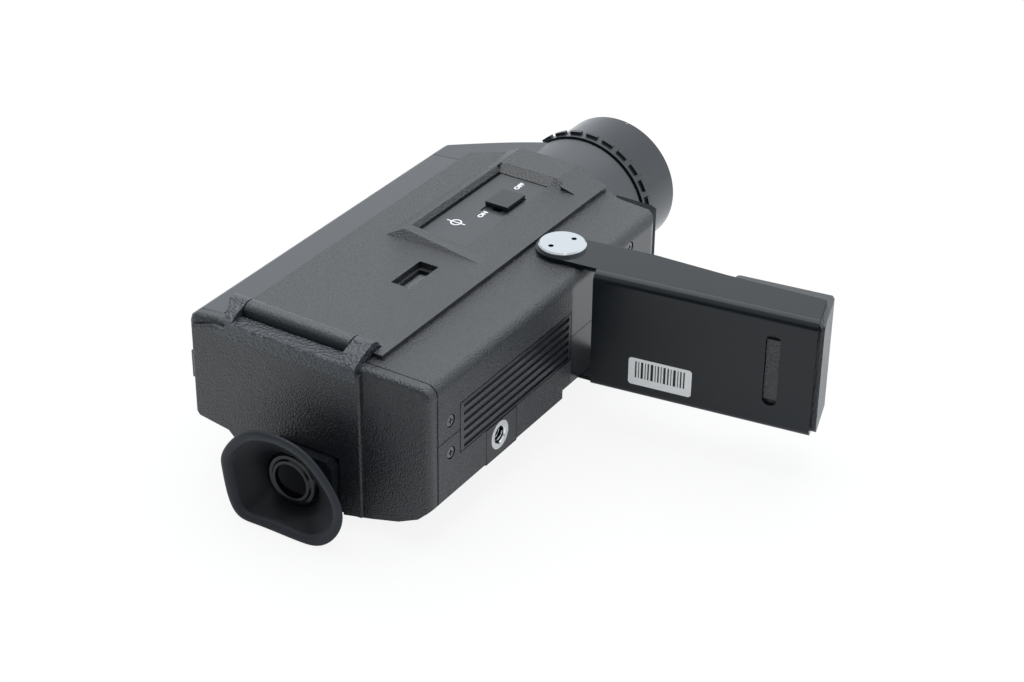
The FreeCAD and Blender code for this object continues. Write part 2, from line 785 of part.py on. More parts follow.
# Bar over the right rear edge, drawn in at its upper end, and the two ears around the pin
pad(rear_door, "XY", "bar_low", "bar_top - bar_low", [
    ("0 - door_panel_rear", "hinge_low"),
    ("0 - door_panel_rear", "hinge_high - bar_slant * (door_panel_rear + ear_corner)"),
    ("bar_front", "hinge_high + bar_slant * (bar_front - ear_corner)"),
    ("bar_front", "hinge_low"),
])
round_off(rear_door, "Chamfer", 0.5, lambda edge: runs_along(edge, Y_AXIS) and passes(
    edge, x=-size("door_panel_rear"), z=size("bar_top")))


def add_ear(low, high):
    ear = [
        ("0.5 - door_panel_rear", "bar_top"),
        ("hinge_forward - 6.2", "hinge_right + 1.7"),
        ("hinge_forward - 2.2", "hinge_right + 3"),
        ("hinge_forward", "hinge_right"),
        ("bar_front", "bar_top"),
    ]
    pad(rear_door, "XZ", "0 - " + high, high + " - " + low, ear)
    pad(rear_door, "XZ", "0 - " + high, high + " - " + low, ("hinge_forward", "hinge_right", "hinge_radius"))
    pocket(rear_door, "XZ", "0 - " + high, high + " - " + low,
           ("hinge_forward", "hinge_right", "hinge_pin_radius"))


add_ear("hinge_low", "(hinge_barrel_low - hinge_gap)")
add_ear("(hinge_barrel_high + hinge_gap)", "hinge_high")
pocket(rear_door, "XY", "bar_top", "crest - bar_top + 1", [
    (-7, "hinge_high - bar_slant * (7 + ear_corner)"),
    ("ear_corner", "hinge_high"),
    ("ear_corner", "hinge_high + 1"),
    (-7, "hinge_high + 1"),
])
hinge_pin = new_body("hinge_pin")
pad(hinge_pin, "XZ", "0 - hinge_high", "hinge_high - hinge_low",
    ("hinge_forward", "hinge_right", "hinge_pin_radius"))

# Door latch: slider on the top whose end reaches over the door's edge, guided by a block in a slot
pocket(top_cover, "XZ", "0 - body_high", 1.4, box_outline(2.8, -3.1, 14.2, 3.1))
door_latch = new_body("door_latch")
pad(door_latch, "XZ", "0 - body_high - latch_lift - latch_thick", "latch_thick", box_outline(
    "latch_rear", "0 - latch_wide / 2", "latch_front", "latch_wide / 2"))
pad(door_latch, "XZ", "0 - body_high - latch_lift", "latch_lift + 1.2", box_outline(3, -3, 11, 3))

# Finder: eyepiece block behind the body, tube, lenses, ring and eyecup
eyepiece_housing = new_body("eyepiece_housing")
pad(eyepiece_housing, "YZ", "0 - eyepiece_rear", "eyepiece_rear", [
    ("cutout_low + 0.6", "eyepiece_right - 2.2"),
    ("cutout_low + 2.8", "eyepiece_right"),
    ("cutout_high - 2.8", "eyepiece_right"),
    ("cutout_high - 0.6", "eyepiece_right - 2.2"),
    ("cutout_high - 0.6", "3 - rest_height"),
    ("cutout_high - 3", "0.8 - rest_height"),
    ("cutout_low + 3", "0.8 - rest_height"),
    ("cutout_low + 0.6", "3 - rest_height"),
])
pocket(eyepiece_housing, "YZ", "0 - eyepiece_rear", "eyepiece_rear", (
    "finder_axis_high", "0 - finder_axis_deep", "finder_tube_radius + 0.05"))
finder_tube = round_piece("finder_tube", "XY", FINDER_AXIS, "H_Axis", [
    ("0 - finder_tube_rear", "finder_tube_radius - finder_tube_wall"),
    ("0 - finder_tube_rear", "finder_tube_radius"),
    ("finder_tube_front", "finder_tube_radius"),
    ("finder_tube_front", "finder_tube_radius - finder_tube_wall"),
])
eyepiece_ring = round_piece("eyepiece_ring", "XY", FINDER_AXIS, "H_Axis", [
    (-14.2, "eyepiece_bore"),
    (-14.2, 7.2),
    (-13.6, 7.8),
    (-13.6, 8.9),
    (-12.8, "eyepiece_ring_radius"),
    (-9.3, "eyepiece_ring_radius"),
    (-9.3, "finder_tube_radius + 0.05"),
    (-12.1, "finder_tube_radius + 0.05"),
    (-12.1, "eyepiece_bore"),
])
eyepiece_lens = lens_element("eyepiece_lens", size("finder_axis_high"), -size("finder_axis_deep"),
                             -13.1, size("eyepiece_bore") - 0.05, 0.8, 0.5)
finder_front_lens = new_body("finder_front_lens")
pad(finder_front_lens, "YZ", "finder_front - wall", "wall - 0.4", box_outline(
    40, "4 - rest_height", 56, "16 - rest_height"))


def eyecup_wire(back, spread, corners):
    """A smooth closed outline across X; spread draws the corners in towards a circle."""
    middle = FreeCAD.Vector(back, size("finder_axis_high"), -size("finder_axis_deep"))
    points = []
    for high, right in corners:
        reach = FreeCAD.Vector(back, high, right) - middle
        round_reach = FreeCAD.Vector(reach)
        round_reach.normalize()
        round_reach.multiply(size("eyepiece_ring_radius") + 1)
        points.append(middle + round_reach * (1 - spread) + reach * spread)
    curve = Part.BSplineCurve()
    curve.interpolate(points, PeriodicFlag=True)
    return Part.Wire([curve.toShape()])


def eyecup_shape(thick):
    """Outer skin of the cup, or with a thickness the hollow inside it."""
    corners = [(67.6, -18), (62.5, -6.5), (53.9, -1.5), (44, -0.4), (33.5, -4.8), (25.4, -14.1),
               (21.8, -24.5), (26, -32.8), (35, -37), (48, -37.6), (59.5, -37.2), (65, -31.4)]
    shrink = thick / 20
    stations = (
        (-11 + thick / 4, -1.2 * shrink),
        (-14.5, 0.2 - shrink),
        (-18.5, 0.66 - shrink),
        (-size("eyecup_rear"), 1.0 - 1.4 * shrink),
    )
    wires = [eyecup_wire(back, spread, corners) for back, spread in stations]
    return Part.makeLoft(wires, True, False)


eyecup_hollow = eyecup_shape(1.6)
ring_seat = Part.makeCylinder(size("eyepiece_ring_radius"), 30, FreeCAD.Vector(
    -30, size("finder_axis_high"), -size("finder_axis_deep")), X_AXIS)
eyecup = fixed_shape("eyecup", eyecup_shape(0.0).cut(eyecup_hollow).cut(ring_seat))

# Switch plate in its recess, with the power slider
switch_plate = new_body("switch_plate")
pad(switch_plate, "XY", "recess_floor", "switch_plate_thick", box_outline(
    "recess_rear + 0.2", "recess_low + 0.2", "recess_front - 0.6", "recess_high - 0.8"))
pocket(switch_plate, "XY", "recess_floor + 0.2", 1, box_outline(
    "knob_rear - 3.2", "knob_low - 0.2", "knob_front + 0.2", "knob_high + 0.2"))
pocket(switch_plate, "XY", "recess_floor", 1, box_outline(104.5, 44.3, 114.7, 47.7))
power_slider = new_body("power_slider")
pad(power_slider, "XY", "recess_floor + 0.4", "crest - recess_floor - 0.4", box_outline(
    "knob_rear", "knob_low", "knob_front", "knob_high"))
pad(power_slider, "XY", "right_face - 4", 6, box_outline(108, 44.5, 114.5, 47.5))

# Film window
film_window = new_body("film_window")
pad(film_window, "XY", "right_face - wall", 1, box_outline(
    "window_rear", "window_low", "window_front", "window_high"))

# Film chamber: open to the rear for the cartridge
film_liner = new_body("film_liner")
pad(film_liner, "YZ", "chamber_rear", "chamber_front - chamber_rear",
    box_outline("chamber_low - liner_wall", "0 - chamber_left - liner_wall",
                "chamber_high + liner_wall", "chamber_right + liner_wall"),
    box_outline("chamber_low", "0 - chamber_left", "chamber_high", "chamber_right"))
pocket(film_liner, "XY", "chamber_right - 1", 4, box_outline(44, 40, 59.7, 47.4))
pad(film_liner, "XY", "0 - chamber_left - liner_wall - 2", 3, ("spindle_forward", "spindle_high", 4))
pad(film_liner, "YZ", 40, 4, box_outline(
    "worm_high - 3", "worm_right - 2.6", "worm_high + 3", "0.5 - chamber_left - liner_wall"))
pocket(film_liner, "XY", "0 - chamber_left - 5", 6, ("spindle_forward", "spindle_high", 2.05))
pocket(film_liner, "YZ", 39, 6, ("worm_high", "worm_right", "shaft_radius + 0.05"))

# Film gate and chassis plate in front of the cartridge
film_gate = new_body("film_gate")
pad(film_gate, "YZ", "chamber_front", "chassis_rear - chamber_front",
    box_outline("chamber_low - liner_wall", "0 - chamber_left - liner_wall",
                "chamber_high + liner_wall", "chamber_right + liner_wall"),
    box_outline("lens_high - 2.1", -2.9, "lens_high + 2.1", 2.9),
    box_outline("lens_high - 9", -4.6, "lens_high - 3", -3.2))
chassis_plate = new_body("chassis_plate")
pad(chassis_plate, "YZ", "chassis_rear", "chassis_thick",
    box_outline("chamber_low - liner_wall", -16, "chamber_high + liner_wall", "chamber_right + liner_wall"),
    box_outline("lens_high - 9.2", -4.8, "lens_high - 2.8", -3.1),
    ("lens_high", 0, 4),
    ("shutter_high", "train_right", "shaft_radius + 0.05"),
    ("worm_high", "worm_right", "shaft_radius + 0.05"))

# Motor plate on four posts, with the motor and the bearings of the shafts
motor_plate = new_body("motor_plate")
pad(motor_plate, "YZ", "motor_plate_rear", "motor_plate_thick",
    box_outline(53, -15.8, 90, 19.5),
    ("motor_high", "train_right", 1.6),
    ("shutter_high", "train_right", "shaft_radius + 0.05"))
for high, right in ((54.6, -14.3), (54.6, 18.1), (88.4, -14.3), (88.4, 18.1)):
    pad(motor_plate, "YZ", "chassis_rear + chassis_thick",
        "motor_plate_rear - chassis_rear - chassis_thick + 0.2", (high, right, 1.2))
motor_body = new_body("motor_body")
pad(motor_body, "YZ", "motor_plate_rear + motor_plate_thick", "motor_long",
    ("motor_high", "train_right", 9.5))
pad(motor_body, "YZ", "motor_plate_rear + motor_plate_thick + motor_long", 1.5,
    ("motor_high", "train_right", 3))


# Gear train between chassis plate and motor plate

def tooth_corners(teeth, phase):
    """Corners of a toothed wheel about the origin, one tooth centred on the phase angle."""
    pitch_radius = size("gear_module") * teeth / 2
    root = pitch_radius - 1.2 * size("gear_module")
    tip = pitch_radius + 0.9 * size("gear_module")
    pitch = 360.0 / teeth
    corners = []
    for tooth in range(teeth):
        for share, radius in ((-0.31, root), (-0.12, tip), (0.12, tip), (0.31, root)):
            angle = math.radians(phase + (tooth + share) * pitch)
            corners.append((radius * math.cos(angle), radius * math.sin(angle)))
    return corners


def meshed_phase(teeth, phase, direction, next_teeth):
    """Phase of the next wheel, whose gap meets this wheel's tooth on the line of centres."""
    pitch = 360.0 / teeth
    offset = (direction - phase + pitch / 2) % pitch - pitch / 2
    return direction + 180 + offset * teeth / next_teeth + 180.0 / next_teeth


def gear_across_x(label, teeth, phase, high, right, bore):
    """A spur wheel on an axle along X; the phase is measured from +Y towards +Z."""
    rear = size("gear_rear")
    corners = [FreeCAD.Vector(rear, high + across, right + along)
               for across, along in tooth_corners(teeth, phase)]
    wheel = Part.Face(Part.makePolygon(corners + corners[:1])).extrude(X_AXIS * size("gear_thick"))
    hole = Part.makeCylinder(bore, size("gear_thick"), FreeCAD.Vector(rear, high, right), X_AXIS)
    fixed_shape(label, wheel.cut(hole))


pinion_count = int(size("pinion_teeth"))
idler_count = int(size("idler_teeth"))
shutter_count = int(size("shutter_teeth"))
worm_count = int(size("worm_gear_teeth"))
towards_worm = math.degrees(math.atan2(size("worm_right") - size("train_right"),
                                       size("worm_high") - size("shutter_high")))
pinion_phase = 180.0
idler_phase = meshed_phase(pinion_count, pinion_phase, 180.0, idler_count)
shutter_phase = meshed_phase(idler_count, idler_phase, 180.0, shutter_count)
worm_phase = meshed_phase(shutter_count, shutter_phase, towards_worm, worm_count)
on_train = size("train_right")
axle = size("shaft_radius")
gear_across_x("motor_pinion", pinion_count, pinion_phase, size("motor_high"), on_train, axle)
gear_across_x("idler_gear", idler_count, idler_phase, size("idler_high"), on_train, axle + 0.05)
gear_across_x("shutter_gear", shutter_count, shutter_phase, size("shutter_high"), on_train, axle)
gear_across_x("worm_shaft_gear", worm_count, worm_phase, size("worm_high"), size("worm_right"), axle)

motor_shaft = new_body("motor_shaft")
pad(motor_shaft, "YZ", "gear_rear - 0.5", "motor_plate_rear + motor_plate_thick - gear_rear + 0.5",
    ("motor_high", "train_right", "shaft_radius"))
idler_stud = new_body("idler_stud")
pad(idler_stud, "YZ", "chassis_rear + chassis_thick",
    "gear_rear + gear_thick + 0.3 - chassis_rear - chassis_thick",
    ("idler_high", "train_right", "shaft_radius"))

# Shutter shaft with the eccentric that drives the claw, shutter disc with its open sector
shutter_shaft = new_body("shutter_shaft")
pad(shutter_shaft, "YZ", "chassis_rear + 0.2", "motor_plate_rear - chassis_rear + 0.8",
    ("shutter_high", "train_right", "shaft_radius"))
pad(shutter_shaft, "YZ", "chassis_rear + chassis_thick + 0.2", 1.2,
    ("shutter_high", "train_right + 1.05", 2.2))
shutter_disc = new_body("shutter_disc")
pad(shutter_disc, "YZ", 97, 0.6,
    ("shutter_high", "train_right", "shutter_radius"), ("shutter_high", "train_right", "shaft_radius"))
pocket(shutter_disc, "YZ", 97, 0.6, [
    ("shutter_high - 3", "train_right - 0.9"),
    ("shutter_high - 3", "train_right + 0.9"),
    ("shutter_high - 9", "train_right + shutter_radius + 2"),
    ("shutter_high - shutter_radius - 6", "train_right + shutter_radius"),
    ("shutter_high - shutter_radius - 6", "train_right - shutter_radius"),
    ("shutter_high - 9", "train_right - shutter_radius - 2"),
])

# Film claw: frame round the eccentric, arm, and the tooth that enters the film's perforation
film_claw = new_body("film_claw")
pad(film_claw, "YZ", "chassis_rear + chassis_thick + 0.1", 1.4,
    box_outline("shutter_high - 7", "train_right - 5.5", "shutter_high + 7", "train_right + 5"),
    box_outline("shutter_high - 5.5", "train_right - 3.4", "shutter_high + 5.5", "train_right + 3.4"))
pad(film_claw, "YZ", "chassis_rear + chassis_thick + 0.1", 1.4,
    box_outline("lens_high - 6.6", -5.4, "shutter_high - 5.6", -3.1))
pad(film_claw, "YZ", "chamber_front - 0.3", "chassis_rear + chassis_thick + 0.6 - chamber_front",
    box_outline("lens_high - 6.6", -4.3, "lens_high - 5.4", -3.5))

# Take-up drive: worm shaft beside the film chamber, wheel and spindle that turn the cartridge's core
worm_shaft = new_body("worm_shaft")
pad(worm_shaft, "YZ", 39.5, "gear_rear + gear_thick + 0.3 - 39.5",
    ("worm_high", "worm_right", "shaft_radius"))
pad(worm_shaft, "YZ", 46, 11, ("worm_high", "worm_right", "shaft_radius + 0.45"))
wheel_corners = [FreeCAD.Vector(size("spindle_forward") + across, size("spindle_high") + along, -12.4)
                 for across, along in tooth_corners(int(size("take_up_teeth")), 0)]
wheel = Part.Face(Part.makePolygon(wheel_corners + wheel_corners[:1])).extrude(Z_AXIS * 2)
wheel_bore = Part.makeCylinder(2.0, 2, FreeCAD.Vector(size("spindle_forward"), size("spindle_high"), -12.4))
take_up_wheel = fixed_shape("take_up_wheel", wheel.cut(wheel_bore))
take_up_spindle = new_body("take_up_spindle")
pad(take_up_spindle, "XY", -13.4, 10.4, ("spindle_forward", "spindle_high", 2))
pad(take_up_spindle, "XY", -5.2, 1.8, box_outline(
    "spindle_forward - 3", "spindle_high - 0.6", "spindle_forward + 3", "spindle_high + 0.6"))

# Battery lid with finger grooves, tray and two cells
battery_door = new_body("battery_door")
pad(battery_door, "XZ", "0 - battery_lid", "battery_lid", box_outline(
    "battery_rear + 0.15", "0.15 - battery_left", "battery_front - 0.15", "battery_right - 0.15"))
groove_sketch = new_sketch(battery_door, "XZ", (0, 0, -0.6))
draw(groove_sketch, [box_outline(14.8, 6.9, 78.2, 8.5)])
groove = add_feature(battery_door, "Pocket", groove_sketch, {"Length": 0.6}, {"Reversed": True})
grooves = battery_door.newObject("PartDesign::LinearPattern", "battery_door_grooves")
grooves.Originals = [groove]
grooves.Direction = (groove_sketch, ["V_Axis"])
grooves.Reversed = True
grooves.setExpression("Length", bound("groove_pitch * (groove_count - 1)"))
grooves.setExpression("Occurrences", bound("groove_count"))
battery_door.Tip = grooves
battery_tray = new_body("battery_tray")
pad(battery_tray, "YZ", "battery_rear", 60, [
    (2, 9.9),
    (18.1, 9.9),
    (18.1, -7.4),
    (24.2, -7.4),
    (24.2, -24.6),
    (8, -24.6),
    (8, "0 - battery_left"),
    (2, "0 - battery_left"),
])
pocket(battery_tray, "YZ", "battery_rear + 0.9", 58.2, [
    (1, 9),
    (17.2, 9),
    (17.2, -8.4),
    (23.3, -8.4),
    (23.3, -23.7),
    (8.9, -23.7),
    (8.9, -8.2),
    (1, -8.2),
])
cell_axes = ((9.9, 0.4), (16.1, -16.2))
for number, (high, right_of) in enumerate(cell_axes, start=1):
    cell = new_body(f"battery_cell_{number}")
    pad(cell, "YZ", "battery_rear + 4.5", "cell_length - 1.5", (high, right_of, "cell_radius"))
    pad(cell, "YZ", "battery_rear + 3 + cell_length", 1.5, (high, right_of, 2.7))

for label, plate_rear, bump_rear, bump_long in (("contact_rear", 13.4, 13.7, 3.3),
                                                ("contact_front", 71.1, 67, 4.2)):
    contact = new_body(label)
    pad(contact, "YZ", plate_rear, 0.5, box_outline(9.5, -20, 16.5, 5))
    for high, right_of in cell_axes:
        pad(contact, "YZ", bump_rear, bump_long, (high, right_of, 2.5))

# Tripod block with its bush
tripod_block = new_body("tripod_block")
pad(tripod_block, "XZ", -7, 7, box_outline(27.7, -22.3, 46, "0 - battery_left"))
pocket(tripod_block, "XZ", "0 - tripod_depth", "tripod_depth", (
    "tripod_forward", "0 - tripod_left", "tripod_bush_radius"))
tripod_bush = new_body("tripod_bush")
pad(tripod_bush, "XZ", "0 - tripod_depth", "tripod_depth",
    ("tripod_forward", "0 - tripod_left", "tripod_bush_radius"))
pocket(tripod_bush, "XZ", "0 - tripod_depth", "tripod_depth",
       ("tripod_forward", "0 - tripod_left", "tripod_thread_radius"))
round_off(tripod_bush, "Chamfer", 0.7,
          lambda edge: passes(edge, y=0) and edge.BoundBox.XLength < 2 * size("tripod_thread_radius") + 0.01)

# Case screws in the underside, one node for all
def case_screw(forward, right_of):
    head = Part.makeCylinder(size("screw_head"), 0.8, FreeCAD.Vector(forward, 0.2, right_of), Y_AXIS)
    shank = Part.makeCylinder(size("screw_shank"), 4, FreeCAD.Vector(forward, 1.0, right_of), Y_AXIS)
    slot = Part.makeBox(4, 0.4, 0.6, FreeCAD.Vector(forward - 2, 0.2, right_of - 0.3))
    return head.fuse(shank).cut(slot)


case_screws = fixed_shape("case_screws", Part.makeCompound([
    case_screw(size("rear_screw_forward"), size("rear_screw_side")),
    case_screw(size("rear_screw_forward"), -size("rear_screw_side")),
    case_screw(size("front_screw_forward"), size("front_screw_side")),
]))

# Grip: folded sheet bracket, core, and the two pivot screws
grip_bracket = new_grip_body("grip_bracket")
bracket_low = "0 - left_face - grip_gap - grip_sheet"
bracket_high = "right_face + grip_gap + grip_sheet"
inner_low = "0 - left_face - grip_gap"
inner_wide = "left_face + right_face + 2 * grip_gap"
bracket_wide = inner_wide + " + 2 * grip_sheet"
plate_plan = [
    ("0 - grip_eye", 0),
    ("0 - grip_eye", -5),
    ("0 - grip_back", "0 - grip_start"),
    ("0 - grip_web", "0 - grip_start"),
    ("0 - grip_web", "0 - grip_end - grip_slant * grip_web"),
    ("grip_front_narrow", "0 - grip_end + grip_slant * grip_front_narrow"),
    ("grip_front_middle", -57),
    ("grip_front_wide", -30),
    ("grip_front_wide", -5),
    ("grip_eye", 0),
]
pad(grip_bracket, "XY", bracket_low, bracket_wide, plate_plan)
pad(grip_bracket, "XY", bracket_low, bracket_wide, (0, 0, "grip_eye"))
pocket(grip_bracket, "XY", inner_low, inner_wide, [
    ("0 - grip_web - 2", 12),
    ("0 - grip_web - 2", "0.01 - grip_start"),
    ("grip_sheet - grip_web", "0.01 - grip_start"),
    ("grip_sheet - grip_web", -120),
    (20, -120),
    (20, 12),
])
round_off(grip_bracket, "Fillet", "grip_bend + grip_sheet",
          lambda edge: runs_along(edge, Y_AXIS) and passes(edge, x=-size("grip_web")))
round_off(grip_bracket, "Fillet", "grip_bend",
          lambda edge: runs_along(edge, Y_AXIS) and passes(edge, x=size("grip_sheet") - size("grip_web")))
pocket(grip_bracket, "XY", bracket_low, 50, (0, 0, "pivot_pin_radius + 0.05"))
pocket(grip_bracket, "YZ", "0 - grip_web", "grip_sheet", box_outline(
    "0 - slot_end", "0 - slot_left", "0 - slot_start", "slot_right"))


def at_slot_corner(edge):
    middle = edge.BoundBox.Center
    beside_slot = size("slot_start") - 0.5 < -middle.y < size("slot_end") + 0.5
    return runs_along(edge, X_AXIS) and beside_slot


round_off(grip_bracket, "Fillet", "slot_round", at_slot_corner)
grip_core = new_grip_body("grip_core")
pad(grip_core, "XY", inner_low, inner_wide, [
    ("grip_sheet - grip_web", "0 - core_start"),
    ("grip_sheet - grip_web", "0 - core_end - grip_slant * (grip_web - grip_sheet)"),
    ("core_front - 3", "0 - core_end + grip_slant * (core_front - 3)"),
    ("core_front", "3 - core_end"),
    ("core_front", "0 - core_start - 2"),
    ("core_front - 2", "0 - core_start"),
])
round_off(grip_core, "Fillet", "core_back_round",
          lambda edge: runs_along(edge, Y_AXIS) and passes(edge, x=size("grip_sheet") - size("grip_web")))
round_off(grip_core, "Fillet", "core_front_round",
          lambda edge: runs_along(edge, Y_AXIS) and passes(edge, x=size("core_front")))
pad(grip_core, "YZ", "0.6 - grip_web", "grip_sheet - 0.5", box_outline(
    "0.2 - slot_end", "2.2 - slot_left", "0 - slot_start - 0.2", "slot_right - 2.2"))
for side, start in (("right", bracket_high), ("left", bracket_low + " - pivot_thick")):
    disc = new_body("pivot_screw_" + side)
    pad(disc, "XY", start, "pivot_thick", ("pivot_forward", "pivot_high", "pivot_radius"))
    outside = size("right_face") + size("grip_gap") + size("grip_sheet") + size("pivot_thick")
    if side == "left":
        outside = -size("left_face") - size("grip_gap") - size("grip_sheet") - size("pivot_thick")
    round_off(disc, "Chamfer", "pivot_chamfer", lambda edge: passes(edge, z=outside))
    shank_start = "right_face - 8" if side == "right" else bracket_low
    shank_long = "8 + grip_gap + grip_sheet"
    pad(disc, "XY", shank_start, shank_long, ("pivot_forward", "pivot_high", "pivot_pin_radius"))
    holes_start = start + " + pivot_thick - 1" if side == "right" else start
    pocket(disc, "XY", holes_start, 1, ("pivot_forward - 4.2", "pivot_high + 2", 0.9),
           ("pivot_forward + 4.2", "pivot_high - 2", 0.9))

doc.recompute()
failed = [item.Label for item in doc.Objects if "Invalid" in item.State or "Error" in item.State]
failed += [node.Label for node in NODES if node.Shape.isNull() or not node.Shape.isValid()]
if failed:
    raise RuntimeError("not built: " + ", ".join(failed))
os.makedirs("parts", exist_ok=True)
for node in NODES:
    node.Shape.exportStep(f"parts/{node.Label}.step")
    print(node.Label, len(node.Shape.Solids), round(node.Shape.Volume), node.Shape.BoundBox)
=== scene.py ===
import math

import bpy
from mathutils import Matrix, Vector


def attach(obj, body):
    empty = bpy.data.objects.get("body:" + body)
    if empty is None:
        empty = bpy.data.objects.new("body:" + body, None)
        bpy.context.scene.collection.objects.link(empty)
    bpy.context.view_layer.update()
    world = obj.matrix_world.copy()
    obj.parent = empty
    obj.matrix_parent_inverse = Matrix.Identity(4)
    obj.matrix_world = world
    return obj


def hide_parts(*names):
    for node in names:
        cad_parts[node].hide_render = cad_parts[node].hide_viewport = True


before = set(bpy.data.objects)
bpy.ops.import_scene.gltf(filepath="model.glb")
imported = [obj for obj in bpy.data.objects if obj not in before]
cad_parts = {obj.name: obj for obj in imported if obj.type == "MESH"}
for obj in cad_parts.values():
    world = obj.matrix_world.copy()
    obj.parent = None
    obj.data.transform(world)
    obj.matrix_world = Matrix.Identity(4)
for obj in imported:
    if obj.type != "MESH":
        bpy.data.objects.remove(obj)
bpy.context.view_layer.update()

# Body shells
# Two halves moulded in black ABS, parted along the middle of the camera and screwed together.
# The tool was etched, so both carry a fine leather grain, all but the front of the underside.

SHELL_DARK = (0.006, 0.008, 0.011)
SHELL_PALE = (0.021, 0.025, 0.031)
SEAM_WIDTH = 0.00050
GRAIN_SIZE = 0.0007
GRAIN_DEPTH = 0.00022
CREASE_BEND = 0.4
COARSER = 1.5
DEEPER = 1.8
BAR_HIGHLIGHT_PALER = 2.2
WEAR_SPREAD = 0.12
POLISH = 0.14
PART_SMOOTH = 0.65
# where the tool was less etched: boxes along X, Y and Z
UNDERSIDE_FRONT = ((-0.0033, 1.0), (-1.0, -0.0057), (-1.0, 1.0))
HINGE_BARREL = ((-1.0, -0.0750), (0.0282, 0.0693), (0.0575, 1.0))
REAR_RAMP = ((-0.0141, -0.0100), (0.0235, 0.0560), (0.0606, 0.06422))
FRONT_BROW = ((0.0459, 0.0510), (0.0336, 0.0563), (0.0612, 0.06422))


def new_material(name):
    """An empty node material, its tree and its main shader."""
    material = bpy.data.materials.new(name)
    material.use_nodes = True
    tree = material.node_tree
    return material, tree, tree.nodes["Principled BSDF"]


def add_node(tree, kind, **settings):
    """A node with its properties and its named inputs set."""
    node = tree.nodes.new(kind)
    for key, value in settings.items():
        if hasattr(node, key):
            setattr(node, key, value)
        else:
            node.inputs[key.replace("_", " ")].default_value = value
    return node


def reckon(tree, operation, *terms):
    """A Math node on sockets and numbers, and its result."""
    node = add_node(tree, "ShaderNodeMath", operation=operation)
    for slot, term in zip(node.inputs, terms):
        if isinstance(term, (int, float)):
            slot.default_value = term
        else:
            tree.links.new(term, slot)
    return node.outputs[0]


def blend_colours(tree, share, first, second):
    """From the first colour to the second as the share goes from 0 to 1."""
    mix = add_node(tree, "ShaderNodeMix", data_type="RGBA")
    tree.links.new(share, mix.inputs[0])
    for slot, colour in ((mix.inputs[6], first), (mix.inputs[7], second)):
        if isinstance(colour, tuple):
            slot.default_value = (*colour, 1)
        else:
            tree.links.new(colour, slot)
    return mix.outputs[2]


def coordinates(tree):
    """The place on the object, whole and along X, Y and Z."""
    place = add_node(tree, "ShaderNodeTexCoord").outputs["Object"]
    split = add_node(tree, "ShaderNodeSeparateXYZ")
    tree.links.new(place, split.inputs[0])
    return place, split.outputs


def seam_lines(tree, along, seams):
    """1 on the dark lines where mouldings meet.

    Each seam is its axis and place, and pairs of another axis and the place where it ends.
    """
    lines = 0.0
    for axis, where, *ends in seams:
        gap = reckon(tree, "ABSOLUTE", reckon(tree, "SUBTRACT", along[axis], where))
        line = reckon(tree, "LESS_THAN", gap, SEAM_WIDTH / 2)
        for end_axis, end in ends:
            line = reckon(tree, "MULTIPLY", line, reckon(tree, "LESS_THAN", along[end_axis], end))
        lines = reckon(tree, "MAXIMUM", lines, line)
    return lines


def colour_with_seams(tree, shader, along, colour, seams):
    """The colour, with seams that give back no light."""
    if seams:
        lines = seam_lines(tree, along, seams)
        colour = blend_colours(tree, lines, colour, (0.0, 0.0, 0.0))
        tree.links.new(lines, shader.inputs["Metallic"])
    tree.links.new(colour, shader.inputs["Base Color"])


def leather_height(tree, place, size):
    """Rounded pebbles between fine creases, about one size apart."""
    warp = add_node(tree, "ShaderNodeTexNoise", Scale=0.5 / size, Detail=2.0)
    tree.links.new(place, warp.inputs["Vector"])
    bend = add_node(tree, "ShaderNodeVectorMath", operation="MULTIPLY_ADD")
    tree.links.new(warp.outputs["Color"], bend.inputs[0])
    bend.inputs[1].default_value = (CREASE_BEND * size,) * 3
    tree.links.new(place, bend.inputs[2])
    pebbles = add_node(tree, "ShaderNodeTexVoronoi", feature="SMOOTH_F1", Scale=1 / size,
                       Smoothness=0.35)
    tree.links.new(bend.outputs[0], pebbles.inputs["Vector"])
    fine = add_node(tree, "ShaderNodeTexNoise", Scale=1.6 / size, Detail=4.0)
    tree.links.new(place, fine.inputs["Vector"])
    return reckon(tree, "MULTIPLY_ADD", fine.outputs["Fac"], 1.0, pebbles.outputs["Distance"])


def raise_surface(tree, shader, height, depth):
    """Bump in which a high value is low, as deep as given in metres."""
    bump = add_node(tree, "ShaderNodeBump", Strength=1.0, Distance=depth, invert=True)
    tree.links.new(height, bump.inputs["Height"])
    tree.links.new(bump.outputs["Normal"], shader.inputs["Normal"])


